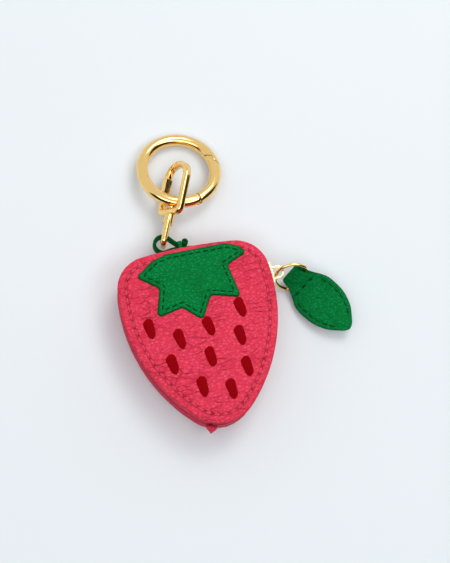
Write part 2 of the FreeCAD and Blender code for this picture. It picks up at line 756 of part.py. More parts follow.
def build():
    cap = calyx()
    strap = strap_loop()
    nodes = {
        "back_panel": back_panel(),
        "back_gusset": back_gusset(),
        "back_lining": back_lining(),
        "gusset_fold_back": gusset_fold(MID_Z - ZIP_HALF, MID_Z - FOLD_GAP),
        "zip_tape_back": zip_tape(MID_Z - TAPE_REACH, MID_Z - ROW_GAP),
        "zip_coil_back": coil_row(MID_Z - ZIP_HALF, MID_Z - ROW_GAP),
        "zip_end_tab": zip_end_tab(),
        "strap_loop": strap,
        "strap_keeper": strap_keeper(strap),
        "front_panel": front_panel(),
        "front_gusset": front_gusset(),
        "front_lining": front_lining(),
        "gusset_fold_front": gusset_fold(MID_Z + FOLD_GAP, MID_Z + ZIP_HALF),
        "zip_tape_front": zip_tape(MID_Z + ROW_GAP, MID_Z + TAPE_REACH),
        "zip_coil_front": coil_row(MID_Z + ROW_GAP, MID_Z + ZIP_HALF),
        "calyx": cap,
        "embroidered_seeds": seeds(cap),
        "zip_slider": zip_slider(),
        "pull_ring": pull_ring(),
        "leaf_neck": leaf_neck(),
        "leaf_front": leaf_layer(0, LEAF_LAYER),
        "leaf_back": leaf_layer(-LEAF_LAYER, 0),
        "swivel_eye": eye_loop(),
        "swivel_rivet": swivel_rivet(),
        "hook_body": hook_body(),
        "hook_gate": hook_gate(),
        "hook_gate_pin": hook_gate_pin(),
        "hook_gate_spring": hook_gate_spring(),
        "key_ring_body": ring_body(),
        "key_ring_gate": ring_gate(),
        "key_ring_pin": ring_gate_pin(),
        "key_ring_spring": ring_gate_spring(),
    }
    return nodes


def overall_shift(nodes):
    """The move that puts the middle of the bottom of the overall box at the origin."""
    whole = Part.makeCompound(list(nodes.values())).optimalBoundingBox(False, False)
    return Vector(-whole.Center.x, -whole.Center.y, -whole.ZMin)


def place_all(nodes):
    shift = overall_shift(nodes)
    for shape in nodes.values():
        shape.translate(shift)
    return shift


def main():
    os.makedirs("parts", exist_ok=True)
    nodes = build()
    place_all(nodes)
    for name, shape in nodes.items():
        shape.exportStep("parts/" + name + ".step")


if __name__ == "__main__":
    main()
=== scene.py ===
import json
import math
import random

import bmesh
import bpy
import numpy as np
from mathutils import Matrix, Vector, noise
from mathutils.geometry import delaunay_2d_cdt


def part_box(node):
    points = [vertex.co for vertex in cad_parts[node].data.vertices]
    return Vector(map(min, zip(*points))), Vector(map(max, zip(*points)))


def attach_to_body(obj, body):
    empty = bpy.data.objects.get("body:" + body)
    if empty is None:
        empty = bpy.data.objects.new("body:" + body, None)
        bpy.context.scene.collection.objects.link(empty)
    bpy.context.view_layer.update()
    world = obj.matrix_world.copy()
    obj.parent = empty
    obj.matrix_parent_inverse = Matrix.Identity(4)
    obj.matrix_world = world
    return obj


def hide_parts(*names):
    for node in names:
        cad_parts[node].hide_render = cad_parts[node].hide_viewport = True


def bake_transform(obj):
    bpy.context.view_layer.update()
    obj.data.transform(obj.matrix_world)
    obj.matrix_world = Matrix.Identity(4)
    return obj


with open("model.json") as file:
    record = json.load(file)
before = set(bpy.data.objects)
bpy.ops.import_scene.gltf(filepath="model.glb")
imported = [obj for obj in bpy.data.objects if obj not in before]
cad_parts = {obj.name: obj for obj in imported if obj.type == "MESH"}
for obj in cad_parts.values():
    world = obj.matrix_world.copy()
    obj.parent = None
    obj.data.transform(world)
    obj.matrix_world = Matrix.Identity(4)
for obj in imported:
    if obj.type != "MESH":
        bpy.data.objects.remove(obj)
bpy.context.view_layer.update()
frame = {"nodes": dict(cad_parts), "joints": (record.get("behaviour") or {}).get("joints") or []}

# Looks of a strawberry-shaped leather zip pouch keychain.
# Lengths in the geometry functions are millimetres in the pouch's own frame: X=0 on its middle line,
# Y=0 about halfway between its top edge and its tip, Z=0 under its back panel. to_frame() turns them
# into the row frame, in metres.

MM = 0.001
JOINTS = {joint["name"]: joint for joint in frame["joints"]}


def levels(node):
    """The lowest and the highest Z of a CAD node."""
    low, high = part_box(node)
    return low.z / MM, high.z / MM


SIDE_RADIUS = 67.1
SIDE_CENTRE = (-35.9, 16.2)
SHOULDER_RADIUS = 13.5
SHOULDER_Y = 22.0
TOP_Y = 36.4
TIP_Y = -36.2

panel_low, panel_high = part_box("back_panel")
ORIGIN = Vector(((panel_low.x + panel_high.x) / 2, panel_high.y - TOP_Y * MM, panel_low.z))

BACK_TOP = levels("back_panel")[1]
FRONT_LOW, FRONT_TOP = levels("front_panel")
BACK_WALL_TOP = levels("back_gusset")[1]
FRONT_WALL_LOW = levels("front_gusset")[0]
MID_Z = (BACK_WALL_TOP + FRONT_WALL_LOW) / 2
CHAIN_Z = JOINTS["hook_swivel"]["pos_m"][2] / MM


def to_frame(points):
    return np.asarray(points, float) * MM + np.array(ORIGIN)


def from_frame(point):
    return (np.asarray(point, float) - np.array(ORIGIN)) / MM


# ---------------------------------------------------------------- paths

def unit(vectors):
    return vectors / np.linalg.norm(vectors, axis=-1, keepdims=True)


def at_height(xy, z):
    """Flat points raised to z, which is one height for all or one for each."""
    return np.concatenate([xy, np.broadcast_to(z, xy.shape[:-1])[..., None]], -1)


def arc_points(centre, radius, start, end, count):
    """Points on an arc, with its angles in degrees."""
    turns = np.radians(np.linspace(start, end, count))
    return [(centre[0] + radius * math.cos(t), centre[1] + radius * math.sin(t)) for t in turns]


def distances_along(path):
    """How far along a path each of its points lies."""
    return np.concatenate([[0], np.cumsum(np.linalg.norm(np.diff(path, axis=0), axis=1))])


def at_distances(path, places):
    """The points that lie at the given distances along a path."""
    along = distances_along(path)
    return np.stack([np.interp(places, along, column) for column in path.T], -1)


def walk_loop(loop, pitch, start=0.0, look=0.3):
    """Evenly pitched places round a closed loop as (x, y, heading), for stitches."""
    path = np.vstack([loop, loop[:1]])
    length = distances_along(path)[-1]
    count = round(length / pitch)
    places = (np.arange(count) + start) * length / count
    here = at_distances(path, places)
    ahead = at_distances(path, (places + look) % length) - here
    return list(zip(here[:, 0], here[:, 1], np.arctan2(ahead[:, 1], ahead[:, 0])))


def smooth_path(points, count):
    """Evenly spaced points on a Catmull-Rom curve through the given ones."""
    knots = np.asarray(points, float)
    knots = np.vstack([2 * knots[0] - knots[1], knots, 2 * knots[-1] - knots[-2]])
    fine = []
    for a, b, c, d in zip(knots, knots[1:], knots[2:], knots[3:]):
        for t in np.linspace(0, 1, 24, endpoint=False):
            fine.append(0.5 * (2 * b + (c - a) * t + (2 * a - 5 * b + 4 * c - d) * t ** 2
                               + (3 * b - a - 3 * c + d) * t ** 3))
    fine = np.array(fine + [knots[-2]])
    return at_distances(fine, np.linspace(0, distances_along(fine)[-1], count))


def round_corners(corners, radii, spacing):
    """A closed polygon's outline with each corner rounded by an arc, as evenly spaced points."""
    corners = np.asarray(corners, float)
    path = []
    for before, here, after, radius in zip(np.roll(corners, 1, 0), corners, np.roll(corners, -1, 0), radii):
        to_before = unit(before - here)
        to_after = unit(after - here)
        half_angle = math.acos(np.clip(to_before @ to_after, -1, 1)) / 2
        reach = radius / math.tan(half_angle)
        centre = here + unit(to_before + to_after) * (radius / math.sin(half_angle))
        for t in np.linspace(0, 1, 9):
            spoke = here - centre + (to_before * (1 - t) + to_after * t) * reach
            path.append(centre + unit(spoke) * radius)
    path = np.array(path + path[:1])
    return at_distances(path, np.arange(0, distances_along(path)[-1], spacing))


# ---------------------------------------------------------------- outline

def outline_arcs():
    """The strawberry outline as arcs (centre, radius, from, to) in degrees, anticlockwise from the tip."""
    reach = SIDE_RADIUS - SHOULDER_RADIUS
    side_top = math.degrees(math.asin((SHOULDER_Y - SIDE_CENTRE[1]) / reach))
    shoulder_x = SIDE_CENTRE[0] + reach * math.cos(math.radians(side_top))
    drop = SHOULDER_Y - TOP_Y
    top_radius = (SHOULDER_RADIUS ** 2 - shoulder_x ** 2 - drop ** 2) / (2 * (drop + SHOULDER_RADIUS))
    top_y = TOP_Y - top_radius
    shoulder_top = math.degrees(math.atan2(SHOULDER_Y - top_y, shoulder_x))
    rise = TIP_Y - SIDE_CENTRE[1]
    tip_radius = (SIDE_RADIUS ** 2 - SIDE_CENTRE[0] ** 2 - rise ** 2) / (2 * (rise + SIDE_RADIUS))
    tip_y = TIP_Y + tip_radius
    side_low = math.degrees(math.atan2(tip_y - SIDE_CENTRE[1], -SIDE_CENTRE[0]))
    return [
        ((0, tip_y), tip_radius, -90, side_low),
        (SIDE_CENTRE, SIDE_RADIUS, side_low, side_top),
        ((shoulder_x, SHOULDER_Y), SHOULDER_RADIUS, side_top, shoulder_top),
        ((0, top_y), top_radius, shoulder_top, 180 - shoulder_top),
        ((-shoulder_x, SHOULDER_Y), SHOULDER_RADIUS, 180 - shoulder_top, 180 - side_top),
        ((-SIDE_CENTRE[0], SIDE_CENTRE[1]), SIDE_RADIUS, 180 - side_top, 180 - side_low),
        ((0, tip_y), tip_radius, 180 - side_low, 270),
    ]


ARCS = outline_arcs()
ARC_OVERLAP = 0.5  # degrees
ZIP_TOP_ANGLE = 8.6
ZIP_TAB_X = -5.0


def outline_stations(spacing):
    """Centre, radius and angle of evenly spaced points on the outline, starting at the tip."""
    rows = []
    for centre, radius, start, end in ARCS:
        count = max(2, round(radius * math.radians(end - start) / spacing))
        for step in range(count):
            angle = math.radians(start + (end - start) * step / count)
            rows.append((*centre, radius, angle))
    return np.array(rows)


def outline_at(stations, inset):
    """Points of the outline moved inwards, one for each station."""
    reach = stations[:, 2] - inset
    x = stations[:, 0] + reach * np.cos(stations[:, 3])
    y = stations[:, 1] + reach * np.sin(stations[:, 3])
    return np.stack([x, y], 1)


def outline_distance(x, y):
    """Distance inwards from the outline, for points inside it."""
    best = np.full(np.shape(x), np.inf)
    for centre, radius, start, end in ARCS:
        dx = x - centre[0]
        dy = y - centre[1]
        turn = (np.degrees(np.arctan2(dy, dx)) - start) % 360 + start
        nearer = np.minimum(best, radius - np.hypot(dx, dy))
        best = np.where(turn <= end + ARC_OVERLAP, nearer, best)
    return best


def zip_covers(stations):
    """True for the stations that the zip covers, from the tab at the tip to the right shoulder."""
    x, y = outline_at(stations, 0).T
    angle = np.degrees(np.arctan2(y - SIDE_CENTRE[1], x - SIDE_CENTRE[0]))
    return (angle < ZIP_TOP_ANGLE) & (x > ZIP_TAB_X)


def open_strip(stations, keep):
    """The one run of stations where keep is true, in order, wherever the ring starts."""
    start = int(np.argmax(keep & ~np.roll(keep, 1)))
    return np.roll(stations, -start, 0)[:keep.sum()]


# ---------------------------------------------------------------- materials

class Graph:
    """A small helper for wiring the procedural nodes of a new material, or of the world."""

    def __init__(self, name, world=None):
        owner = world or bpy.data.materials.new(name)
        owner.use_nodes = True
        self.owner = owner
        self.nodes = owner.node_tree.nodes
        self.shader = self.nodes.get("Principled BSDF") or self.nodes["Background"]
        self.places = self.nodes.new("ShaderNodeTexCoord").outputs

    def feed(self, socket, value):
        """Links a socket to another node's output, or sets it to a plain number or colour."""
        if isinstance(value, bpy.types.NodeSocket):
            self.owner.node_tree.links.new(value, socket)
        elif socket.type == "RGBA":
            socket.default_value = (*value, 1.0)
        else:
            socket.default_value = value

    def node(self, kind, inputs, **settings):
        """Adds a node and gives back its outputs."""
        node = self.nodes.new("ShaderNode" + kind)
        for name, value in settings.items():
            setattr(node, name, value)
        for key, value in inputs.items():
            self.feed(node.inputs[key], value)
        return node.outputs

    def set(self, **values):
        for name, value in values.items():
            self.feed(self.shader.inputs[name.replace("_", " ")], value)

    def mapped(self, scale, turn=(0, 0, 0)):
        """The piece's own coordinates, in so many units a millimetre."""
        inputs = {"Vector": self.places["Object"], "Scale": [s / MM for s in scale], "Rotation": turn}
        return self.node("Mapping", inputs)["Vector"]

    def warped(self, scale, noise_scale, reach):
        """Mapped coordinates pushed about by noise, so that cells lose their straight sides."""
        inputs = {"Vector": self.mapped((1, 1, 1)), "Scale": noise_scale, "Detail": 2.0}
        push = self.node("TexNoise", inputs)["Color"]
        inputs = {0: push, 1: (reach, reach, reach), 2: self.mapped(scale)}
        return self.node("VectorMath", inputs, operation="MULTIPLY_ADD")["Vector"]

    def noise(self, scale, detail=3.0, turn=(0, 0, 0)):
        inputs = {"Vector": self.mapped(scale, turn), "Scale": 1.0, "Detail": detail, "Roughness": 0.55}
        return self.node("TexNoise", inputs)["Fac"]

    def voronoi(self, vector, size, feature, **inputs):
        """Distances in a pattern of cells about size across."""
        inputs.update(Vector=vector, Scale=1 / size)
        return self.node("TexVoronoi", inputs, feature=feature)["Distance"]

    def wave(self, scale, direction, turn=(0, 0, 0)):
        inputs = {"Vector": self.mapped((1, 1, 1), turn), "Scale": scale}
        return self.node("TexWave", inputs, bands_direction=direction)["Fac"]

    def math(self, operation, first, second):
        return self.node("Math", {0: first, 1: second}, operation=operation)["Value"]

    def plus(self, first, second):
        return self.math("ADD", first, second)

    def minus(self, first, second):
        return self.math("SUBTRACT", first, second)

    def times(self, first, second):
        return self.math("MULTIPLY", first, second)

    def remap(self, value, low, high, to_low=0.0, to_high=1.0, **settings):
        inputs = dict(enumerate((value, low, high, to_low, to_high)))
        return self.node("MapRange", inputs, **settings)["Result"]

    def mix(self, factor, first, second):
        return self.node("Mix", {0: factor, 6: first, 7: second}, data_type="RGBA")[2]

    def bump(self, height, depth, strength=1.0, **inputs):
        inputs.update(Height=height, Distance=depth * MM, Strength=strength)
        return self.node("Bump", inputs)["Normal"]


def leather(name, colour, crease_shade, pebble_highlight, edge, pebble=1.1, grain=0.20, fold=0.30, gloss=0.14):
    """Pebbled leather: rounded pebbles parted by creases, long branching wrinkles, painted edges, with
    painted shade in the creases and wrinkles and painted highlights on the pebble tops.

    pebble is a pebble's size, grain and fold are the depths of pebbles and wrinkles. edge is the dark
    colour of painted edges and of painted shade in needle holes.
    """
    g = Graph(name)
    flow = g.warped((0.62, 1.0, 1.0), 0.9, 0.55)
    cells = g.voronoi(flow, pebble, "SMOOTH_F1", Smoothness=0.3)
    cracks = g.remap(g.voronoi(flow, pebble, "DISTANCE_TO_EDGE"), 0.0, 0.13)
    run = g.warped((0.40, 1.0, 1.0), 0.35, 1.5)
    wrinkles = g.remap(g.voronoi(run, 2.4 * pebble, "DISTANCE_TO_EDGE"), 0.0, 0.12)
    pores = g.noise((4.0, 4.0, 4.0), 2.0)
    shown = g.remap(g.noise((0.12, 0.12, 0.12)), 0.40, 0.62, 0.10, 1.0)
    raised = g.minus(1.0, g.times(cells, 0.9))
    height = g.times(raised, g.plus(g.times(cracks, 0.5), 0.5))
    height = g.plus(height, g.times(pores, 0.10))
    # Painted shade: the cracks between pebbles are darkened towards the crease colour.
    tone = g.mix(g.times(g.minus(1.0, cracks), 0.55), colour, crease_shade)
    # Painted highlight: the pebble tops are lightened towards the highlight colour.
    tone = g.mix(g.remap(cells, 0.12, 0.42, 0.55, 0.0), tone, pebble_highlight)
    # Painted shade: the long wrinkles are darkened towards the crease colour where the noise lets them
    # show.
    wrinkle_shade = g.times(g.minus(1.0, wrinkles), g.times(shown, 0.6))
    tone = g.mix(wrinkle_shade, tone, crease_shade)
    # The paint attribute marks where the edge colour goes: real edge paint on cut edges, and painted shade
    # in the pink panel's needle holes.
    paint = g.node("Attribute", {}, attribute_name="paint")["Fac"]
    folds = g.bump(g.times(wrinkles, shown), fold)
    g.set(
        Base_Color=g.mix(paint, tone, edge), Roughness=g.remap(raised, 0.3, 1.0, 0.66, 0.46),
        Normal=g.bump(height, grain, Normal=folds), Specular_IOR_Level=gloss)
    return g.owner


def gold(name, colour=(0.98, 0.67, 0.25), roughness=0.08):
    """Polished gold plate with faint polishing haze and hairlines."""
    g = Graph(name)
    haze = g.noise((0.25, 0.25, 0.25), 4.0)
    hairlines = g.noise((9.0, 1.2, 9.0), 2.0, (0.3, 0.2, 0.9))
    deep = (colour[0] * 0.93, colour[1] * 0.88, colour[2] * 0.80)
    g.set(
        Base_Color=g.mix(g.remap(haze, 0.3, 0.7, 0.0, 0.5), colour, deep), Metallic=1.0,
        Roughness=g.remap(haze, 0.3, 0.75, roughness * 0.7, roughness * 1.7),
        Normal=g.bump(hairlines, 0.004, 0.6))
    return g.owner


def thread(name, colour, groove_shade, twist=2.2):
    """Twisted sewing thread, darker in the grooves between its strands as painted shade."""
    g = Graph(name)
    strands = g.wave(twist, "DIAGONAL", (0.0, 0.0, 0.7))
    fuzz = g.noise((3.0, 3.0, 3.0))
    height = g.plus(strands, g.times(fuzz, 0.5))
    g.set(
        Base_Color=g.mix(g.remap(height, 0.2, 1.2), groove_shade, colour), Normal=g.bump(height, 0.05, 0.7),
        Roughness=g.remap(fuzz, 0.2, 0.8, 0.45, 0.7), Specular_IOR_Level=0.03)
    return g.owner


def woven(name, colour, groove_shade, pitch=0.45):
    """Plain woven cloth, with its threads a pitch apart, darker between the threads as painted shade and
    varying at random.
    """
    g = Graph(name)
    wave_scale = 0.314 / pitch
    weft, warp, rise = (g.wave(wave_scale, direction) for direction in "XYZ")
    height = g.math("MAXIMUM", g.math("MAXIMUM", weft, warp), rise)
    soft = g.noise((0.2, 0.2, 0.2))
    g.set(
        Base_Color=g.mix(g.remap(g.times(height, soft), 0.2, 0.6), groove_shade, colour),
        Roughness=g.remap(soft, 0.2, 0.8, 0.75, 0.9), Specular_IOR_Level=0.1, Normal=g.bump(height, 0.08))
    return g.owner


def nylon(name, colour, light):
    """Moulded nylon coil."""
    g = Graph(name)
    drift = g.noise((0.6, 0.6, 0.6))
    fine = g.noise((5.0, 5.0, 5.0), 2.0)
    g.set(
        Base_Color=g.mix(g.remap(drift, 0.3, 0.7, 0.0, 0.6), colour, light), Normal=g.bump(fine, 0.015),
        Roughness=g.remap(fine, 0.2, 0.8, 0.28, 0.42))
    return g.owner


def steel(name):
    """Drawn spring wire."""
    g = Graph(name)
    drawn = g.noise((6.0, 0.6, 6.0))
    g.set(
        Base_Color=g.mix(drawn, (0.45, 0.45, 0.47), (0.72, 0.72, 0.74)), Metallic=1.0,
        Roughness=g.remap(drawn, 0.2, 0.8, 0.22, 0.4))
    return g.owner


# The pink leather's edge colour is used only as painted shade in the front panel's needle holes.
PINK = leather(
    "pink_leather", colour=(0.72, 0.036, 0.080), crease_shade=(0.47, 0.010, 0.034),
    pebble_highlight=(0.86, 0.095, 0.155), edge=(0.20, 0.001, 0.008))
# A darker copy of the pink leather for the walls and folds: painted shade, as the walls face away from the
# light.
SHADED_PINK_WALL = leather(
    "shaded_pink_wall_leather", colour=(0.63, 0.038, 0.078), crease_shade=(0.45, 0.014, 0.038),
    pebble_highlight=(0.71, 0.06, 0.11), edge=(0.45, 0.012, 0.034), pebble=0.9, grain=0.12, fold=0.18)
GREEN = leather(
    "green_leather", colour=(0.0003, 0.18, 0.036), crease_shade=(0.0001, 0.105, 0.017),
    pebble_highlight=(0.01, 0.33, 0.105), edge=(0.0001, 0.06, 0.01), pebble=0.85, fold=0.10, gloss=0.04)
GOLD = gold("gold_plate")
PALE_GOLD = gold("pale_gold_plate", (0.96, 0.79, 0.52), 0.13)
STEEL = steel("spring_steel")
# Each thread's second colour is painted shade in the grooves between its strands.
PINK_THREAD = thread("pink_thread", (0.82, 0.085, 0.150), (0.62, 0.034, 0.070))
GREEN_THREAD = thread("green_thread", (0.0004, 0.075, 0.014), (0.0001, 0.030, 0.005))
SEED_THREAD = thread("seed_thread", (0.36, 0.0004, 0.004), (0.22, 0.0002, 0.002), 1.6)
# Each cloth's second colour is painted shade between its woven threads.
CLOTH = woven("lining_cloth", (0.62, 0.075, 0.12), (0.42, 0.035, 0.065))
TAPE = woven("zip_tape_cloth", (0.66, 0.05, 0.09), (0.45, 0.022, 0.045), 0.6)
COIL = nylon("zip_coil_nylon", (0.60, 0.035, 0.075), (0.72, 0.07, 0.12))


# ---------------------------------------------------------------- mesh helpers

def grid_faces(rows, columns, close_rows, close_columns):
    faces = []
    for i in range(rows if close_rows else rows - 1):
        here = i * columns
        above = (i + 1) % rows * columns
        for j in range(columns if close_columns else columns - 1):
            beside = (j + 1) % columns
            faces.append((here + j, here + beside, above + beside, above + j))
    return faces


class Shape:
    """Points and faces gathered for one piece, with a paint value at each point, for edge paint and for
    painted shade in needle holes.
    """

    def __init__(self):
        self.points = []
        self.faces = []
        self.paint = []

    def add(self, points, faces, paint=0.0):
        base = len(self.points)
        points = np.asarray(points, float).reshape(-1, 3)
        self.points.extend(points.tolist())
        self.faces.extend([tuple(base + i for i in face) for face in faces])
        values = np.broadcast_to(np.asarray(paint, float).reshape(-1), (len(points),))
        self.paint.extend(values.tolist())

    def add_grid(self, grid, close_rows=False, close_columns=False, paint=0.0):
        rows, columns = grid.shape[:2]
        self.add(grid, grid_faces(rows, columns, close_rows, close_columns), paint)

    def add_cap(self, ring, paint=0.0):
        self.add(ring, [tuple(range(len(ring)))], paint)

    def add_fan(self, ring, hub):
        """Closes a ring of points, given again, onto one hub point."""
        count = len(ring)
        faces = [(i, (i + 1) % count, count) for i in range(count)]
        self.add(np.vstack([ring, [hub]]), faces)

    def add_sweep(self, grid, paint=0.0):
        """A section carried along an open path, with flat ends."""
        self.add_grid(grid, close_columns=True, paint=paint)
        self.add_cap(grid[0])
        self.add_cap(grid[-1])

    def add_tube(self, path, radius, sides=8):
        """A round thread or wire along a path, with domed ends."""
        path = np.asarray(path, float)
        tangent = unit(np.vstack([path[1:], 2 * path[-1] - path[-2]]) - path)
        helper = np.where(np.abs(tangent[:, 2:]) > 0.9, (1.0, 0.0, 0.0), (0.0, 0.0, 1.0))
        side = unit(np.cross(tangent, helper))
        up = np.cross(side, tangent)
        turns = np.linspace(0, 2 * math.pi, sides, endpoint=False)[:, None]
        circle = radius * (side[:, None] * np.cos(turns) + up[:, None] * np.sin(turns))
        rings = list(path[:, None] + circle)
        for lift, shrink in ((0.5, 0.866), (0.87, 0.493), (1.0, 0.02)):
            rings.insert(0, path[0] - tangent[0] * radius * lift + circle[0] * shrink)
            rings.append(path[-1] + tangent[-1] * radius * lift + circle[-1] * shrink)
        self.add_sweep(np.array(rings))


def add_object(name, data):
    thing = bpy.data.objects.new(name, data)
    bpy.context.scene.collection.objects.link(thing)
    return thing


def write_smooth(bm, mesh):
    for face in bm.faces:
        face.smooth = True
    bm.to_mesh(mesh)
    bm.free()


def attach(piece, material, body, replaces):
    """Gives a piece its material, its body and the CAD nodes that it stands in for."""
    piece.data.materials.clear()
    piece.data.materials.append(material)
    if body:
        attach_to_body(piece, body)
    if replaces:
        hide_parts(*replaces)


def finish_piece(name, shape, material, body, replaces=(), merge=0.0004):
    """Makes the mesh object, welds points closer than merge and faces it outwards."""
    mesh = bpy.data.meshes.new(name)
    mesh.from_pydata(to_frame(shape.points).tolist(), [], shape.faces)
    layer = mesh.attributes.new("paint", "FLOAT", "POINT")
    layer.data.foreach_set("value", np.array(shape.paint, np.float32))
    bm = bmesh.new()
    bm.from_mesh(mesh)
    bmesh.ops.remove_doubles(bm, verts=bm.verts, dist=merge * MM)
    bmesh.ops.dissolve_degenerate(bm, dist=1e-8, edges=bm.edges)
    bmesh.ops.recalc_face_normals(bm, faces=bm.faces)
    write_smooth(bm, mesh)
    piece = add_object(name, mesh)
    attach(piece, material, body, replaces)
    return piece


def noise_field(x, y, scale_x, scale_y, seed, octaves=2):
    """Fractal noise at each point, stretched by its own scale along x and along y."""
    places = zip(np.ravel(x) / scale_x, np.ravel(y) / scale_y)
    values = [noise.fractal(Vector((a, b, seed)), 1.0, 2.0, octaves) for a, b in places]
    return np.array(values).reshape(np.shape(x))


def hump(value, width):
    """A bell curve that is 1 where value is 0."""
    return np.exp(-(value / width) ** 2)


def ramp(value):
    return np.clip(value, 0, 1)


def quarter_round(value):
    """Rises from 0 to 1 like a quarter circle while value goes from 0 to 1."""
    return np.sqrt(ramp(1 - (1 - ramp(value)) ** 2))


def rounded_section(width, thickness, radius, corner_steps=4):
    """A rounded rectangle's outline, width across and thickness up."""
    x = width / 2 - radius
    y = thickness / 2 - radius
    points = []
    for centre, start in (((x, y), 0), ((-x, y), 90), ((-x, -y), 180), ((x, -y), 270)):
        points += arc_points(centre, radius, start, start + 90, corner_steps + 1)
    return np.array(points)


def sweep(path, across, up, section):
    """Carries a section along a path. across and up are unit vectors for each path point."""
    return path[:, None] + across[:, None] * section[:, :1] + up[:, None] * section[:, 1:]


def upright_sweep(path, up, section):
    """Carries a section along a path that keeps square to up."""
    up = np.tile(up, (len(path), 1))
    return sweep(path, np.cross(unit(np.gradient(path, axis=0)), up), up, section)


# ---------------------------------------------------------------- panels

PANEL_STATIONS = outline_stations(0.4)
PANEL_HUB = (0.0, 2.0)
PANEL = 1.6
FLAT_INSET = 8.0
CROWN = 1.0
CROWN_RISE = 7.0
WELT_INSET = 1.6
BACK_MARGIN = 0.8
STITCH_INSET = 3.3
STITCH_PITCH = 3.35
STITCH_LENGTH = 2.1
HOLE_RADIUS = 0.52
HOLE_DEPTH = 0.20
FRONT_ROUND = 0.9
BACK_ROUND = 1.2

SEED_DENT = 0.14
DENT_HALF_WIDTH = 3.2
DENT_HALF_LENGTH = 4.9
# Each seed's middle and the turn of its long axis, in degrees.
SEEDS = [
    (-21.6, 5.9, 97), (-10.9, -0.4, 101), (-15.8, -9.8, 100), (1.4, 2.4, 104), (-0.5, -9.7, 97),
    (-6.2, -20.7, 96), (15.4, 7.5, 101), (12.8, -3.6, 97), (12.7, -16.3, 98), (4.7, -23.8, 96),
]


def cover_height(x, y):
    """How far the front's leather stands above its flat CAD top: crown, seam, welt and wrinkles."""
    d = outline_distance(x, y)
    crown = CROWN * (1 - np.exp(-np.clip(d - 1.0, 0, None) / CROWN_RISE))
    seam = -0.05 * hump(d - STITCH_INSET, 0.6)
    welt = 0.08 * hump(d - WELT_INSET, 0.8)
    wrinkle = 0.15 * noise_field(x, y, 5.5, 1.9, 3.1) + 0.06 * noise_field(x, y, 2.2, 1.0, 7.7, 1)
    return crown + seam + welt + wrinkle * ramp(d / 1.5)


def seed_dents(x, y):
    """How far the seeds' stitches pull the leather down."""
    dent = np.zeros(np.shape(x))
    for sx, sy, _ in SEEDS:
        away = ((x - sx) / DENT_HALF_WIDTH) ** 2 + ((y - sy) / DENT_HALF_LENGTH) ** 2
        dent -= SEED_DENT * hump(away, 1.0)
    return dent


def rim_places(inset, start=0.0):
    return walk_loop(outline_at(outline_stations(0.25), inset), STITCH_PITCH, start)


def stitch_holes(x, y):
    """How near each point is to a needle hole of the rim seam, from 0 to 1."""
    near = np.zeros(np.shape(x))
    for sx, sy, heading in rim_places(STITCH_INSET):
        for end in (-STITCH_LENGTH / 2, STITCH_LENGTH / 2):
            away = np.hypot(x - sx - end * math.cos(heading), y - sy - end * math.sin(heading))
            near = np.maximum(near, hump(away, HOLE_RADIUS))
    return near


def panel_cover(half, face_z, away, margin, rim_round):
    """A leather panel: worked face, rounded rim, flat inner side. away is +1 up or -1 down."""
    hub = np.array(PANEL_HUB)
    inner = outline_at(PANEL_STATIONS, FLAT_INSET)
    rows = [hub + (inner - hub) * t for t in np.linspace(0.02, 1, 54, endpoint=False)]
    rows += [outline_at(PANEL_STATIONS, inset) for inset in np.linspace(FLAT_INSET, rim_round + margin, 22)]
    xy = np.array(rows)
    x, y = xy[..., 0], xy[..., 1]
    paint = np.zeros(x.shape)
    if away > 0:
        seam = outline_distance(x, y) < STITCH_INSET + 1.2
        # Painted shade in the needle holes: paint darkens them with the leather's edge colour, besides
        # their small sink.
        paint[seam] = np.minimum(1.5 * stitch_holes(x[seam], y[seam]), 1)
        lift = cover_height(x, y) + seed_dents(x, y) - HOLE_DEPTH * paint
    else:
        lift = 0.05 * noise_field(x, y, 6.0, 3.0, 9.0) - 0.06
    face = at_height(xy, face_z + away * lift)
    shape = Shape()
    shape.add_grid(face, close_columns=True, paint=paint)
    shape.add_fan(face[0], [*hub, face[0, :, 2].mean()])
    rim = []
    for angle in np.radians(np.linspace(0, 90, 7)):
        ring = outline_at(PANEL_STATIONS, margin + rim_round * (1 - math.sin(angle)))
        rim.append(at_height(ring, face[-1, :, 2] - away * rim_round * (1 - math.cos(angle))))
    for inset, depth in ((0.0, PANEL - 0.25), (0.25, PANEL), (3.0, PANEL), (6.0, PANEL)):
        rim.append(at_height(outline_at(PANEL_STATIONS, inset + margin), face_z - away * depth))
    shape.add_grid(np.array(rim), close_columns=True)
    shape.add_fan(rim[-1], [*hub, face_z - away * PANEL])
    finish_piece(half + "_cover", shape, PINK, half + "_half", [half + "_panel"], merge=0.002)


# ---------------------------------------------------------------- walls

WALL_STEP = 0.8
WALL_STATIONS = outline_stations(WALL_STEP)
PLEAT_INSET = 1.75
PLEAT_HALF = 1.5
PLEAT_CLOSING = 1.3
PLEAT_CLOTH = 0.3
LINING_CLOTH = 0.4
LINING_HEM = 9.0


def shell_grid(profile, stations):
    """A profile of (inset, z) carried along the stations. An inset may differ from station to station."""
    return np.array([at_height(outline_at(stations, inset), z) for inset, z in profile])


def ripple(grid, size, scale_along, scale_up, seed):
    """Pushes a shell round the whole outline softly in and out, as worked leather and cloth are."""
    along = np.cumsum(np.full(grid.shape[:2], WALL_STEP), axis=1)
    push = size * noise_field(along, grid[..., 2], scale_along, scale_up, seed)
    grid[..., 0] += push * np.cos(WALL_STATIONS[:, 3])
    grid[..., 1] += push * np.sin(WALL_STATIONS[:, 3])


def strip_shell(profile, stations):
    """A closed profile carried along part of the outline, with closed ends."""
    grid = shell_grid(profile, stations)
    shape = Shape()
    shape.add_grid(grid, close_rows=True)
    shape.add_cap(grid[:, 0])
    shape.add_cap(grid[:, -1])
    return shape


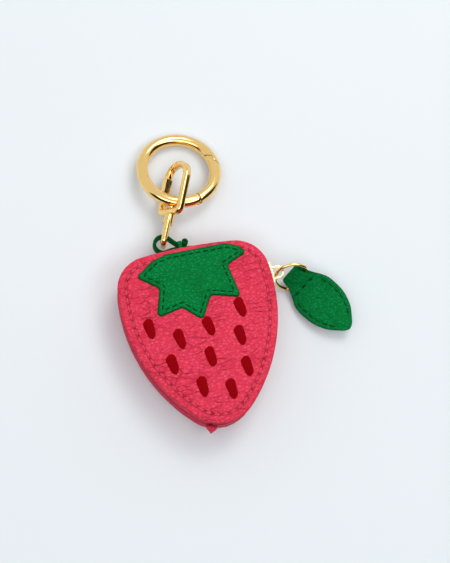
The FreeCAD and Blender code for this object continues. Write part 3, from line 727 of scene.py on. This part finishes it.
def wall_profile(z_low, z_high, outer_low, outer_high, inner, bulge, corner=0.35):
    """A leather wall's section: leaning, softly bulging outer side with rounded edges."""
    rows = []
    for t in np.linspace(0, 1, 7):
        z = z_low + corner + (z_high - z_low - 2 * corner) * t
        rows.append((outer_low + (outer_high - outer_low) * t - bulge * math.sin(math.pi * t), z))
    rows += arc_points((outer_high + corner, z_high - corner), corner, 180, 90, 4)
    rows += [(inner - 0.1, z_high), (inner, z_high - 0.2), (inner, z_low + 0.2), (inner - 0.1, z_low)]
    return rows + arc_points((outer_low + corner, z_low + corner), corner, 270, 180, 4)


def pouch_walls():
    front = wall_profile(
        FRONT_WALL_LOW, FRONT_LOW + 0.1, outer_low=0.75, outer_high=0.5, inner=1.7, bulge=0.15)
    back = wall_profile(
        BACK_TOP - 0.2, BACK_WALL_TOP, outer_low=BACK_MARGIN + 0.2, outer_high=0.65, inner=2.3, bulge=0.55)
    for half, profile, seed in (("front", front, 2.0), ("back", back, 5.0)):
        grid = shell_grid(profile, WALL_STATIONS)
        ripple(grid, size=0.10, scale_along=4.0, scale_up=1.6, seed=seed)
        shape = Shape()
        shape.add_grid(grid, close_rows=True, close_columns=True)
        finish_piece(half + "_wall", shape, SHADED_PINK_WALL, half + "_half", [half + "_gusset"])


def side_folds():
    """The leather that folds between the halves where there is no zip, and the pleat behind it."""
    plain = open_strip(WALL_STATIONS, ~zip_covers(WALL_STATIONS))
    for half, low, high in (
            ("back", BACK_WALL_TOP - 0.05, MID_Z - 0.12),
            ("front", MID_Z + 0.12, FRONT_WALL_LOW + 0.05)):
        profile = wall_profile(low, high, outer_low=1.1, outer_high=1.1, inner=1.8, bulge=0.15, corner=0.3)
        shape = strip_shell(profile, plain)
        finish_piece("fold_" + half, shape, SHADED_PINK_WALL, half + "_half", ["gusset_fold_" + half])
    cloth_pleat(plain)


def cloth_pleat(plain):
    """The cloth pleat behind the folds, deeper the farther it lies from the front half's hinge."""
    hinge = from_frame(JOINTS["front_open"]["pos_m"])
    axis = JOINTS["front_open"]["axis"]
    reach = np.abs((outline_at(plain, 1.8) - hinge[:2]) @ (-axis[1], axis[0]))
    depth = 1.0 + reach * 0.13
    outer = [(PLEAT_INSET + depth * t, PLEAT_CLOSING * t - PLEAT_HALF) for t in np.linspace(0, 1, 8)]
    outer += [(inset, -lift) for inset, lift in outer[::-1]]
    inner = [(inset + PLEAT_CLOTH, lift * 1.15) for inset, lift in outer[::-1]]
    shape = strip_shell([(inset, MID_Z + lift) for inset, lift in outer + inner], plain)
    piece = finish_piece("cloth_pleat", shape, CLOTH, None)
    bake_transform(piece)


def lining(name, floor_z, top_z, half):
    """A sewn cloth liner: floor, soft corner and side wall, as a thin closed shell."""
    away = 1 if top_z > floor_z else -1
    wall = abs(top_z - floor_z)
    outer = [(LINING_HEM, 0.0), *arc_points((5.0, 2.0), 2.0, 270, 180, 6)]
    outer += [(2.9, wall - 2.5), (2.4, wall - 1.0), (1.9, wall)]
    inner = [(2.3, wall), (2.8, wall - 0.9), (3.3, wall - 2.5)]
    inner += [*arc_points((5.1, LINING_CLOTH + 1.7), 1.7, 180, 270, 6), (LINING_HEM, LINING_CLOTH)]
    grid = shell_grid([(inset, floor_z + away * rise) for inset, rise in outer + inner], WALL_STATIONS)
    ripple(grid, size=0.12, scale_along=6.0, scale_up=3.0, seed=11.0)
    shape = Shape()
    shape.add_grid(grid, close_columns=True)
    shape.add_fan(grid[0], [*PANEL_HUB, floor_z])
    shape.add_fan(grid[-1], [*PANEL_HUB, floor_z + away * LINING_CLOTH])
    finish_piece(name, shape, CLOTH, half + "_half", [half + "_lining"])


TAB_HALF_WIDTH = 2.2
TAB_SHOULDER = 0.25
TAB_REACH = 2.55
TAB_ROOT = 1.2


def end_tab():
    """The folded leather point over the zip's lower end, rooted in the back wall."""
    low, high = levels("zip_end_tab")
    centre, radius = ARCS[0][:2]
    heading = -math.acos(ZIP_TAB_X / radius)
    outward = np.array((math.cos(heading), math.sin(heading)))
    across = np.array((-outward[1], outward[0]))
    foot = np.array(centre) + outward * radius
    corners = [(-TAB_HALF_WIDTH, -TAB_ROOT), (TAB_HALF_WIDTH, -TAB_ROOT), (TAB_HALF_WIDTH, TAB_SHOULDER),
               (0, TAB_REACH), (-TAB_HALF_WIDTH, TAB_SHOULDER)]
    plan = round_corners(corners, [0.2, 0.2, 0.35, 0.3, 0.35], 0.15)
    step_z = BACK_WALL_TOP - 0.15
    rows = []
    for z, root, size in (
            (low, TAB_ROOT, 0.90), (low + 0.1, TAB_ROOT, 0.97), (low + 0.3, TAB_ROOT, 1.0),
            (step_z - 0.1, TAB_ROOT, 1.0), (step_z, 0.0, 1.0), (high - 0.3, 0.0, 1.0),
            (high - 0.1, 0.0, 0.97), (high, 0.0, 0.90)):
        out = np.maximum(plan[:, 1:] * size, -root)
        rows.append(at_height(foot + across * plan[:, :1] * size + outward * out, z))
    shape = Shape()
    shape.add_sweep(np.array(rows))
    finish_piece("end_tab_leather", shape, PINK, "back_half", ["zip_end_tab"], merge=0.001)


# ---------------------------------------------------------------- stitching

def add_stitch(shape, x, y, z, heading, length, radius, sink=0.12):
    """One stitch: a short thread that dips into its holes at both ends."""
    t = np.linspace(-1, 1, 9)[:, None]
    run = t * length / 2 * (math.cos(heading), math.sin(heading))
    shape.add_tube(at_height((x, y) + run, z - np.abs(t[:, 0]) ** 4 * (radius + sink)), radius)


def rim_stitches():
    shape = Shape()
    for x, y, heading in rim_places(STITCH_INSET):
        z = FRONT_TOP + cover_height(x, y) + 0.06
        add_stitch(shape, x, y, z, heading, STITCH_LENGTH, radius=0.38)
    finish_piece("rim_stitching", shape, PINK_THREAD, "front_half")
    under = Shape()
    for x, y, heading in rim_places(STITCH_INSET + BACK_MARGIN, 0.5):
        add_stitch(under, x, y, 0.22, heading, STITCH_LENGTH, radius=0.2, sink=-0.4)
    finish_piece("back_stitching", under, PINK_THREAD, "back_half")


# ---------------------------------------------------------------- calyx

CALYX_CORNERS = [
    (-22.7, 27.3), (-14.6, 21.0), (-18.1, 9.3), (-7.4, 11.6), (-0.4, 5.1), (4.9, 14.5),
    (16.8, 11.2), (14.2, 25.5), (23.2, 29.2), (20.2, 32.6), (15.3, 34.6), (-9.4, 34.5), (-15.0, 32.7),
]
CALYX_RADII = [1.3, 1.6, 1.5, 1.6, 1.6, 1.6, 1.4, 1.8, 1.5, 3.0, 8.0, 8.0, 6.0]
CALYX_EDGE = 0.30
CALYX_LEATHER = 1.0
CALYX_ROUND = 0.75
CALYX_SEAM_INSET = 1.9
CALYX_SEAM_DEPTH = 0.24
CALYX_LIFT = 0.25
CALYX_FOLLOWS = 0.55


def polygon_distance(points, loop):
    """Unsigned distance from each point to a closed loop of points."""
    best = np.full(len(points), np.inf)
    for start, run in zip(loop, np.roll(loop, -1, 0) - loop):
        t = ramp(((points - start) @ run) / (run @ run))
        best = np.minimum(best, np.linalg.norm(points - start - t[:, None] * run, axis=1))
    return best


def polygon_inside(points, loop):
    x, y = points.T
    inside = np.zeros(len(points), bool)
    for (x1, y1), (x2, y2) in zip(np.roll(loop, 1, 0), loop):
        inside ^= ((y1 > y) != (y2 > y)) & (x < (x2 - x1) * (y - y1) / (y2 - y1 + 1e-12) + x1)
    return inside


def filled_outline(loop, spacing):
    """Triangles that fill a closed loop, with evenly spread points inside."""
    low, high = loop.min(0), loop.max(0)
    gx, gy = np.meshgrid(np.arange(low[0], high[0], spacing), np.arange(low[1], high[1], spacing))
    gx[1::2] += spacing / 2
    inner = np.stack([gx.ravel(), gy.ravel()], 1)
    inner = inner[polygon_inside(inner, loop)]
    inner = inner[polygon_distance(inner, loop) > spacing * 0.6]
    count = len(loop)
    points = [Vector(p) for p in np.vstack([loop, inner])]
    edges = [(i, (i + 1) % count) for i in range(count)]
    out = delaunay_2d_cdt(points, edges, [list(range(count))], 1, 1e-5)
    return np.array([p[:] for p in out[0]]), [tuple(f) for f in out[2]]


def calyx_base(x, y):
    """Height of the calyx's underside, which bridges the crown of the panel."""
    return FRONT_TOP + cover_height(x, y) * CALYX_FOLLOWS + CALYX_LIFT


def calyx_cap():
    loop = round_corners(CALYX_CORNERS, CALYX_RADII, 0.4)
    points, triangles = filled_outline(loop, 0.55)
    x, y = points.T
    d = polygon_distance(points, loop)
    base = calyx_base(x, y)
    seam = -CALYX_SEAM_DEPTH * hump(d - CALYX_SEAM_INSET, 0.5)
    swell = CALYX_EDGE + (CALYX_LEATHER - CALYX_EDGE) * quarter_round(d / CALYX_ROUND)
    top = base + swell + seam + 0.10 * noise_field(x, y, 3.0, 2.0, 21.0) * ramp(d)
    upper = at_height(points, top)
    lower = at_height(points, base - 0.35)
    order = [int(np.argmin(np.linalg.norm(points - p, axis=1))) for p in loop]
    shape = Shape()
    shape.add(upper, triangles, ramp(1.2 - d / 0.60) ** 1.2)
    shape.add(lower, [t[::-1] for t in triangles], 1.0)
    shape.add_grid(np.array([upper[order], lower[order]]), close_columns=True, paint=1.0)
    finish_piece("calyx_leather", shape, GREEN, "front_half", ["calyx"], merge=0.003)


def inset_loop(corners, inset, spacing):
    """A polygon, given anticlockwise, with its sides moved inwards and its corners rounded."""
    corners = np.asarray(corners, float)
    runs = unit(np.roll(corners, -1, 0) - corners)
    starts = corners + inset * np.stack([-runs[:, 1], runs[:, 0]], 1)
    moved = []
    for i in range(len(corners)):
        sides = np.array([runs[i - 1], -runs[i]]).T
        reach = np.linalg.solve(sides, starts[i] - starts[i - 1])[0]
        moved.append(starts[i - 1] + runs[i - 1] * reach)
    return round_corners(moved, [0.5] * len(corners), spacing)


def calyx_stitches():
    shape = Shape()
    line = inset_loop(CALYX_CORNERS, CALYX_SEAM_INSET, 0.2)
    for x, y, heading in walk_loop(line, 3.0, look=0.4):
        z = calyx_base(x, y) + CALYX_LEATHER - CALYX_SEAM_DEPTH + 0.10
        add_stitch(shape, x, y, z, heading, STITCH_LENGTH, radius=0.27)
    finish_piece("calyx_stitching", shape, GREEN_THREAD, "front_half")


# ---------------------------------------------------------------- seeds

SEED_HALF_WIDTH = 2.35
SEED_HALF_LENGTH = 3.95
SEED_THREADS = 27
SEED_SLANT = -0.25
SEED_RAGGED = 0.09
SEED_THREAD_RADIUS = 0.19


def seed_half_width(u):
    """Half width of a drop-shaped seed at u from -1, its narrow foot, to 1, its broad head."""
    return SEED_HALF_WIDTH * max(0.0, 1 - abs(u) ** 5.0) ** 0.5 * (0.84 + 0.16 * u)


def seed_embroidery():
    """Satin stitch: threads laid side by side across each drop, where the calyx leaves them clear."""
    random.seed(7)
    calyx = round_corners(CALYX_CORNERS, CALYX_RADII, 0.5)
    t = np.linspace(-1, 1, 9)[:, None]
    shape = Shape()
    for sx, sy, turn in SEEDS:
        lean = math.radians(turn)
        along = np.array([math.cos(lean), math.sin(lean)])
        across = np.array([-along[1], along[0]])
        for u in np.linspace(-0.985, 0.985, SEED_THREADS):
            half = seed_half_width(u) + random.uniform(-SEED_RAGGED, SEED_RAGGED)
            xy = (sx, sy) + along * (u * SEED_HALF_LENGTH + SEED_SLANT * t) + across * (half * t)
            clear = ~polygon_inside(xy, calyx)
            if clear.sum() < 3:
                continue
            arch = 0.62 * (1 - np.abs(t[:, 0]) ** 2.4) * (1 - 0.45 * abs(u) ** 3) - 0.18
            z = FRONT_TOP + cover_height(*xy.T) + seed_dents(*xy.T) + arch
            shape.add_tube(at_height(xy, z)[clear], SEED_THREAD_RADIUS, 6)
    finish_piece("seed_embroidery", shape, SEED_THREAD, "front_half", ["embroidered_seeds"])


# ---------------------------------------------------------------- zip

TAPE_OUT = 1.42
TAPE_IN = 1.85
TAPE_HEIGHTS = (0.75, 2.375, 4.0)
COIL_RADIUS = 0.25
TOOTH_STEPS = 6  # stations from one tooth to the next
ZIP_HALVES = (("lower", "back", -1), ("upper", "front", 1))
COIL_TURN = (
    # inset, height from the middle, shift along the zip
    (1.35, 1.55, -0.2), (0.75, 1.5, -0.16), (0.42, 1.05, -0.08), (0.40, 0.35, 0.0), (0.52, -0.12, 0.0),
    (0.85, -0.22, 0.02), (1.10, 0.2, 0.06), (1.15, 0.9, 0.12), (1.35, 1.5, 0.2))


def zip_run():
    """Closely spaced stations along the zip."""
    fine = outline_stations(0.2)
    return open_strip(fine, zip_covers(fine))


def zip_tapes():
    for name, half, side in ZIP_HALVES:
        heights = sorted(MID_Z + side * height for height in TAPE_HEIGHTS)
        profile = [(TAPE_OUT, z) for z in heights] + [(TAPE_IN, z) for z in heights[::-1]]
        tape = strip_shell(profile, zip_run()[::4])
        finish_piece("zip_tape_" + name, tape, TAPE, half + "_half", ["zip_tape_" + half])


def zip_teeth():
    """Two rows of coil teeth that mesh along the middle plane, half a pitch apart."""
    for name, half, side in ZIP_HALVES:
        first = 2 if side < 0 else 2 + TOOTH_STEPS // 2
        shape = Shape()
        for cx, cy, radius, angle in zip_run()[first:-2:TOOTH_STEPS]:
            outward = np.array([math.cos(angle), math.sin(angle)])
            tangent = np.array([-outward[1], outward[0]])
            path = []
            for inset, height, shift in COIL_TURN:
                place = (cx, cy) + outward * (radius - inset) + tangent * shift
                path.append((*place, MID_Z + side * height))
            shape.add_tube(smooth_path(path, 17), COIL_RADIUS, 7)
        finish_piece("zip_coil_" + name, shape, COIL, half + "_half", ["zip_coil_" + half])


# ---------------------------------------------------------------- metal

SHARP_ANGLE = 32
FLAT_ANGLE = 0.6


def polished(node, material, body, width, segments):
    """A copy of a CAD solid with its sharp edges broken, as plating and polishing leave them."""
    piece = add_object(node + "_polished", frame["nodes"][node].data.copy())
    bm = bmesh.new()
    bm.from_mesh(piece.data)
    bmesh.ops.remove_doubles(bm, verts=bm.verts, dist=2e-6)
    bmesh.ops.dissolve_limit(bm, angle_limit=math.radians(FLAT_ANGLE), verts=bm.verts, edges=bm.edges)
    write_smooth(bm, piece.data)
    bevel = piece.modifiers.new("edges", "BEVEL")
    bevel.width = width * MM
    bevel.segments = segments
    bevel.limit_method = "ANGLE"
    bevel.angle_limit = math.radians(SHARP_ANGLE)
    piece.modifiers.new("normals", "WEIGHTED_NORMAL").keep_sharp = True
    graph = bpy.context.evaluated_depsgraph_get()
    mesh = bpy.data.meshes.new_from_object(piece.evaluated_get(graph))
    piece.modifiers.clear()
    piece.data = mesh
    attach(piece, material, body, [node])


# The hook's sizes along its swivel axis, from its pivot, and across that axis.
HOOK_BASE = 1.6
HOOK_FLOOR = 4.2
HOOK_OUTER = 7.0
HOOK_INNER = 4.7
HOOK_CORNER = 3.0
HOOK_DEPTH = 3.0
GATE_PIVOT = 10.6
GATE_NOSE = 18.2
EAR_BACK = 1.9
EAR_DEPTH = 0.75
EAR_RADIUS = 1.15
BAR_ROUNDING = 0.95
SPRING_TURNS = 3
SPRING_START = 0.36
SPRING_LENGTH = 0.26


def hook_plane(path, shift=0.0):
    """Points given in the hook's own plane, along its swivel and across it, moved out of it by shift."""
    origin = from_frame(JOINTS["hook_swivel"]["pos_m"])
    along = np.array(JOINTS["hook_swivel"]["axis"])
    normal = np.array(JOINTS["hook_gate_open"]["axis"])
    flat = np.asarray(path, float)
    return origin + flat[:, :1] * along + flat[:, 1:] * np.cross(normal, along) + shift * normal


def gate_ear(shape, arm, middle):
    """One of the two round-ended ears beside the gate's tongue."""
    centre = np.array((GATE_PIVOT, -arm))
    back = GATE_PIVOT - EAR_BACK - 0.2
    outline = arc_points(centre, EAR_RADIUS, -90, 90, 13)
    outline += [(back, EAR_RADIUS - arm), (back, -EAR_RADIUS - arm)]
    rows = []
    for lift, size in ((-0.5, 0.88), (-0.35, 1.0), (0.35, 1.0), (0.5, 0.88)):
        scaled = centre + (np.array(outline) - centre) * size
        rows.append(hook_plane(scaled, middle + lift * EAR_DEPTH))
    shape.add_sweep(np.array(rows))


def hook_frame():
    """The hook's rounded bar, from the gate's ears round the base and the fixed arm to the nose."""
    arm = (HOOK_OUTER + HOOK_INNER) / 2
    bar = HOOK_FLOOR - HOOK_BASE
    corner = HOOK_CORNER - bar / 2
    low = HOOK_BASE + bar / 2
    path = [(x, -arm) for x in np.linspace(GATE_PIVOT - EAR_BACK, low + corner + 0.1, 4)]
    path += arc_points((low + corner, corner - arm), corner, 270, 180, 12)
    path += [(low, 0.0)]
    path += arc_points((low + corner, arm - corner), corner, 180, 90, 12)
    path += [(x, arm) for x in np.linspace(low + corner + 1, GATE_NOSE - 1, 8)]
    path += arc_points((GATE_NOSE, 0), arm, 90, -90, 40)
    shape = Shape()
    section = rounded_section(bar, HOOK_DEPTH, BAR_ROUNDING, 7)
    shape.add_sweep(upright_sweep(hook_plane(path), JOINTS["hook_gate_open"]["axis"], section))
    for side in (-1, 1):
        gate_ear(shape, arm, side * (HOOK_DEPTH - EAR_DEPTH) / 2)
    finish_piece("hook_frame", shape, GOLD, "snap_hook", ["hook_body"])


def spring_coils():
    """The two torsion springs: turns of wire round each gate's pin."""
    t = np.linspace(0, 1, 16 * SPRING_TURNS)[:, None]
    turn = 2 * math.pi * SPRING_TURNS * t
    lift = SPRING_START + SPRING_LENGTH * t
    for name, joint, node, body, radius, wire in (
            ("hook_spring_wire", "hook_gate_open", "hook_gate_spring", "snap_hook", 0.78, 0.09),
            ("ring_spring_wire", "ring_gate_open", "key_ring_spring", "key_ring", 1.15, 0.10)):
        axis = np.array(JOINTS[joint]["axis"])
        side = unit(np.cross(axis, (0.3, 0.5, 0.8)))
        round_pin = side * np.cos(turn) + np.cross(axis, side) * np.sin(turn)
        path = from_frame(JOINTS[joint]["pos_m"]) + axis * lift + round_pin * radius
        shape = Shape()
        shape.add_tube(path, wire, 6)
        finish_piece(name, shape, STEEL, body, [node])


def metal_parts():
    polished("zip_slider", PALE_GOLD, "zip_slider", 0.18, 3)
    hook_frame()
    for node, body, width, segments in (
            ("hook_gate", "hook_gate", 0.30, 3), ("swivel_eye", "swivel_eye", 0.20, 3),
            ("swivel_rivet", "swivel_eye", 0.12, 2), ("key_ring_body", "key_ring", 0.12, 2),
            ("key_ring_gate", "ring_gate", 0.12, 2), ("key_ring_pin", "key_ring", 0.10, 2),
            ("hook_gate_pin", "snap_hook", 0.08, 2)):
        polished(node, GOLD, body, width, segments)
    spring_coils()
    d_ring = frame["nodes"]["pull_ring"].data
    d_ring.materials.clear()
    d_ring.materials.append(GOLD)


# ---------------------------------------------------------------- leaf pull

LEAF_AXIS = np.array([0.527, -0.846, -0.010])
LEAF_FOLD_BACK = 4.4
LEAF_LAYER = 1.1
LEAF_GAP = 0.56
LEAF_LENGTH = 34.0
LEAF_NECK = 9.0
LEAF_SEAM_INSET = 2.0
LEAF_STATIONS = np.array([
    # distance, half width, twist, rise
    (0.55, 4.9, 0, 0.0), (2.2, 5.0, 0, 0.0), (4.6, 5.3, 3, 0.0), (8.0, 7.3, 13, 0.0), (12.4, 9.3, 23, -0.3),
    (17.0, 9.7, 30, -0.6), (23.0, 8.9, 34, -0.9), (28.0, 6.6, 35, -1.1), (32.0, 3.2, 37, -1.2),
    (34.0, 1.5, 38, -1.2),
])


def leaf_frame():
    """The leaf's start and its own axes: along it, along the D-ring's bar, and out of its face."""
    middle = from_frame(JOINTS["leaf_swing"]["pos_m"])
    bar = -np.array(JOINTS["leaf_swing"]["axis"])
    along = unit(LEAF_AXIS - bar * (LEAF_AXIS @ bar))
    return middle - along * LEAF_FOLD_BACK, along, bar, np.cross(along, bar)


def leaf_curve(distance, column):
    """A smooth value along the leaf, by cubic interpolation of its stations."""
    xs = LEAF_STATIONS[:, 0]
    ys = LEAF_STATIONS[:, column]
    slopes = np.gradient(ys, xs)
    i = np.clip(np.searchsorted(xs, distance) - 1, 0, len(xs) - 2)
    h = xs[i + 1] - xs[i]
    t = ramp((distance - xs[i]) / h)
    return ((1 + 2 * t) * (1 - t) ** 2 * ys[i] + t * (1 - t) ** 2 * h * slopes[i]
            + t * t * (3 - 2 * t) * ys[i + 1] + t * t * (t - 1) * h * slopes[i + 1])


def leaf_half_width(distance):
    return leaf_curve(distance, 1) * quarter_round((LEAF_LENGTH - distance) / 1.6) * 0.98 + 0.02


def leaf_layer_height(distance):
    """Height of a layer's middle above the leaf's middle plane: open round the bar, closed beyond it."""
    nose = 1.6 * np.sqrt(ramp(1 - ramp((2.15 - distance) / 1.6) ** 2))
    closing = 1 - ramp((distance - 5.2) / 3.2)
    closing = closing * closing * (3 - 2 * closing)
    return np.where(distance < 2.15, nose, LEAF_GAP + 1.04 * closing)


def leaf_point(distance, side, height):
    """A point of the leaf from its distance along, distance across and height above its middle plane."""
    origin, along, bar, face = leaf_frame()
    twist = np.radians(leaf_curve(distance, 2))
    rise = leaf_curve(distance, 3)
    across = side * np.cos(twist) + height * np.sin(twist)
    out = -side * np.sin(twist) + height * np.cos(twist) + rise
    return origin + along * distance[..., None] + bar * across[..., None] + face * out[..., None]


def leaf_layer(name, layer, nodes):
    """One leather layer, from the fold's nose to the tip. layer is +1 above or -1 below."""
    distances = np.concatenate([
        0.55 + 1.6 * (1 - np.cos(np.linspace(0, math.pi / 2, 10))),
        np.linspace(2.4, LEAF_LENGTH - 2.4, 76),
        LEAF_LENGTH - 2.4 * (1 - np.sin(np.linspace(0.12, math.pi / 2 - 0.02, 12))),
    ])
    half = leaf_half_width(distances)
    middle = layer * leaf_layer_height(distances)
    lean = np.arctan(np.clip(np.gradient(middle, distances), -6, 6))
    across = np.linspace(-1, 1, 44)
    t = np.concatenate([across, across[::-1]])[:, None]
    side = np.repeat([1, -1], len(across))[:, None]
    gap = half * (1 - np.abs(t))
    shown = side == layer
    thickness = LEAF_LAYER / 2 * (0.25 + 0.75 * quarter_round(gap / 0.45))
    pillow = 0.18 * ramp(gap / 3) * (distances > LEAF_NECK) * shown
    offset = side * (thickness + pillow)
    grid_d = distances - np.sin(lean) * offset
    grid_s = half * t
    seam = -0.22 * hump(gap - LEAF_SEAM_INSET, 0.5) * (distances > LEAF_NECK + 1)
    wrinkle = 0.10 * noise_field(grid_d, grid_s + 50, 2.6, 2.2, 33.0)
    grid_h = middle + np.cos(lean) * offset + layer * shown * (seam + wrinkle)
    points = leaf_point(grid_d, grid_s, grid_h)
    shape = Shape()
    shape.add_grid(points, close_rows=True, paint=ramp(1.2 - gap / 0.32))
    for column in (0, -1):
        shape.add_cap(points[:, column], 1.0)
    finish_piece(name, shape, GREEN, "leaf_tab", nodes, merge=0.002)


def leaf_stitches():
    """Three coarse stitches across the neck and a finer row down each edge."""
    surface = LEAF_GAP + LEAF_LAYER / 2
    shape = Shape()
    t = np.linspace(-1, 1, 9)
    for side in (-4.1, 0.0, 4.1):
        height = surface + 0.26 - 0.42 * t ** 4
        shape.add_tube(leaf_point(np.full(len(t), 8.6), side + 0.80 * t, height), 0.36)
    distances = np.arange(11.5, 31.0, 0.1)
    inset = leaf_half_width(distances) - LEAF_SEAM_INSET
    keep = inset > 0.6
    t = np.linspace(-1, 1, 7)
    for side in (1, -1):
        line = np.stack([distances[keep], side * inset[keep]], 1)
        for start in np.arange(0.4, distances_along(line)[-1] - 2.2, 3.2):
            along, across = at_distances(line, start + 0.95 + 0.95 * t).T
            shape.add_tube(leaf_point(along, across, surface + 0.14 - 0.30 * t ** 4), 0.23, 7)
    finish_piece("leaf_stitching", shape, GREEN_THREAD, "leaf_tab")


# ---------------------------------------------------------------- strap

LOOP_CENTRE = (-8.2, 41.2)
LOOP_RADIUS = 3.4
STRAP = 1.4
STRAP_WIDTH = 3.4
KEEPER_X = -1.6
KEEPER_Y = 38.95
NUB = (0.6, 40.7)


def band(path, width, thickness, corner=0.4):
    """A flat strap on edge: its width stands along Z and its thickness lies across its path."""
    section = rounded_section(thickness, width, corner)
    grid = upright_sweep(at_height(path, CHAIN_Z), (0.0, 0.0, 1.0), section)
    edge = ramp((np.abs(section[:, 1]) - (width / 2 - 0.35)) / 0.2)
    shape = Shape()
    shape.add_sweep(grid, np.broadcast_to(edge, grid.shape[:2]))
    return shape


def strap():
    """The strap: in under the keeper, round the loop and back, with its curled end beyond the keeper."""
    upper = [(0.6, 40.1), (KEEPER_X, 39.75), (KEEPER_X - 1.8, 41.0)]
    lower = [(-4.2, 38.35), (KEEPER_X, 38.1), (1.9, 37.75), (5.0, 37.4)]
    path = smooth_path(upper + arc_points(LOOP_CENTRE, LOOP_RADIUS, 45, 290, 26) + lower, 120)
    finish_piece("strap_leather", band(path, STRAP_WIDTH, STRAP), GREEN, "back_half", ["strap_loop"])
    t = np.linspace(0, 1, 30)[:, None]
    turn = np.radians(200 - 340 * t)
    curl = NUB + (0.55 + 0.75 * t) * np.concatenate([np.cos(turn), np.sin(turn)], 1)
    finish_piece("strap_nub", band(curl, STRAP_WIDTH, 0.9, 0.3), GREEN, "back_half")


def strap_keeper():
    """The narrow leather loop round both runs of the strap."""
    ring = rounded_section(3.8, STRAP_WIDTH + 0.7, 0.6, 5) + (KEEPER_Y, CHAIN_Z)
    path = np.insert(ring, 0, KEEPER_X, axis=1)
    ahead = unit(np.roll(path, -1, 0) - np.roll(path, 1, 0))
    across = np.tile((1.0, 0.0, 0.0), (len(path), 1))
    grid = sweep(path, across, np.cross(ahead, across), rounded_section(1.6, 0.6, 0.22))
    shape = Shape()
    shape.add_grid(grid, close_rows=True, close_columns=True)
    finish_piece("keeper_leather", shape, GREEN, "back_half", ["strap_keeper"])


# ---------------------------------------------------------------- stage

TARGET = ORIGIN + Vector((12.28, 19.80, 15.0)) * MM
# The camera's turns in degrees: away from looking straight down, round the vertical and round its own view.
VIEW_TILT = 17.0
VIEW_HEADING = -33.5
VIEW_ROLL = 21.355
VIEW_DISTANCE = 0.532
KEY_PLACE = Vector((0.36, 0.42, 0.85))
KEY_SIZE = 0.42
FLOOR_REACH = 3.0
FLOOR_DROP = 0.00005


def add_camera():
    data = bpy.data.cameras.new("camera")
    data.lens = 85
    data.sensor_width = 36
    data.clip_start = 0.01
    camera = add_object("camera", data)
    turn = Matrix.Identity(4)
    for degrees, axis in ((VIEW_HEADING, "Z"), (VIEW_TILT, "X"), (VIEW_ROLL, "Z")):
        turn = turn @ Matrix.Rotation(math.radians(degrees), 4, axis)
    camera.matrix_world = Matrix.Translation(TARGET) @ turn @ Matrix.Translation((0, 0, VIEW_DISTANCE))
    bpy.context.scene.camera = camera


def key_light():
    data = bpy.data.lights.new("key", "AREA")
    data.shape = "RECTANGLE"
    data.size = data.size_y = KEY_SIZE
    data.energy = 3.0
    data.color = (1.0, 0.985, 0.96)
    light = add_object("key", data)
    light.location = KEY_PLACE
    light.rotation_euler = (TARGET - KEY_PLACE).to_track_quat("-Z", "Y").to_euler()


def add_floor():
    g = Graph("pale_floor")
    drift = g.noise((0.004, 0.004, 0.004), 2.0)
    g.set(
        Base_Color=g.mix(drift, (0.715, 0.742, 0.752), (0.730, 0.757, 0.768)),
        Roughness=0.7, Specular_IOR_Level=0.2)
    mesh = bpy.data.meshes.new("floor")
    corners = [(x * FLOOR_REACH, y * FLOOR_REACH, 0) for x, y in ((-1, -1), (1, -1), (1, 1), (-1, 1))]
    mesh.from_pydata(corners, [], [(0, 1, 2, 3)])
    mesh.materials.append(g.owner)
    floor = add_object("floor", mesh)
    floor.location.z = -FLOOR_DROP


def add_world():
    """A pale room: an even glow, a broad window band on the near side and darkness under it."""
    g = Graph("studio", world=bpy.data.worlds.new("studio"))
    x, y, z = g.node("SeparateXYZ", {0: g.places["Generated"]})

    def step(value, start, end):
        return g.remap(value, start, end, interpolation_type="SMOOTHSTEP")

    near = step(g.minus(g.times(y, -1.0), g.times(x, -0.12)), 0.04, 0.16)
    window = g.times(g.times(step(z, 0.73, 0.76), step(z, 0.93, 0.90)), near)
    gloom = g.times(step(z, 0.72, 0.66), near)
    glow = g.minus(g.times(window, 2.8), g.times(gloom, 0.80))
    g.set(Color=(0.93, 0.96, 1.0), Strength=g.plus(glow, 0.83))
    bpy.context.scene.world = g.owner


def stage():
    add_floor()
    add_world()
    key_light()
    bpy.context.scene.view_settings.view_transform = "Standard"
    bpy.context.scene.view_settings.look = "None"
    add_camera()


# ---------------------------------------------------------------- everything

def build_pouch():
    panel_cover("front", FRONT_TOP, away=1, margin=0.0, rim_round=FRONT_ROUND)
    panel_cover("back", 0.0, away=-1, margin=BACK_MARGIN, rim_round=BACK_ROUND)
    pouch_walls()
    side_folds()
    lining("lining_lower", BACK_TOP + 0.1, MID_Z - 1.9, "back")
    lining("lining_upper", FRONT_LOW - 0.1, MID_Z + 1.9, "front")
    rim_stitches()
    calyx_cap()
    calyx_stitches()
    seed_embroidery()
    zip_tapes()
    zip_teeth()
    end_tab()


def build_pull():
    leaf_layer("leaf_upper", 1, ["leaf_front", "leaf_neck"])
    leaf_layer("leaf_lower", -1, ["leaf_back"])
    leaf_stitches()


build_pouch()
build_pull()
strap()
strap_keeper()
metal_parts()
stage()
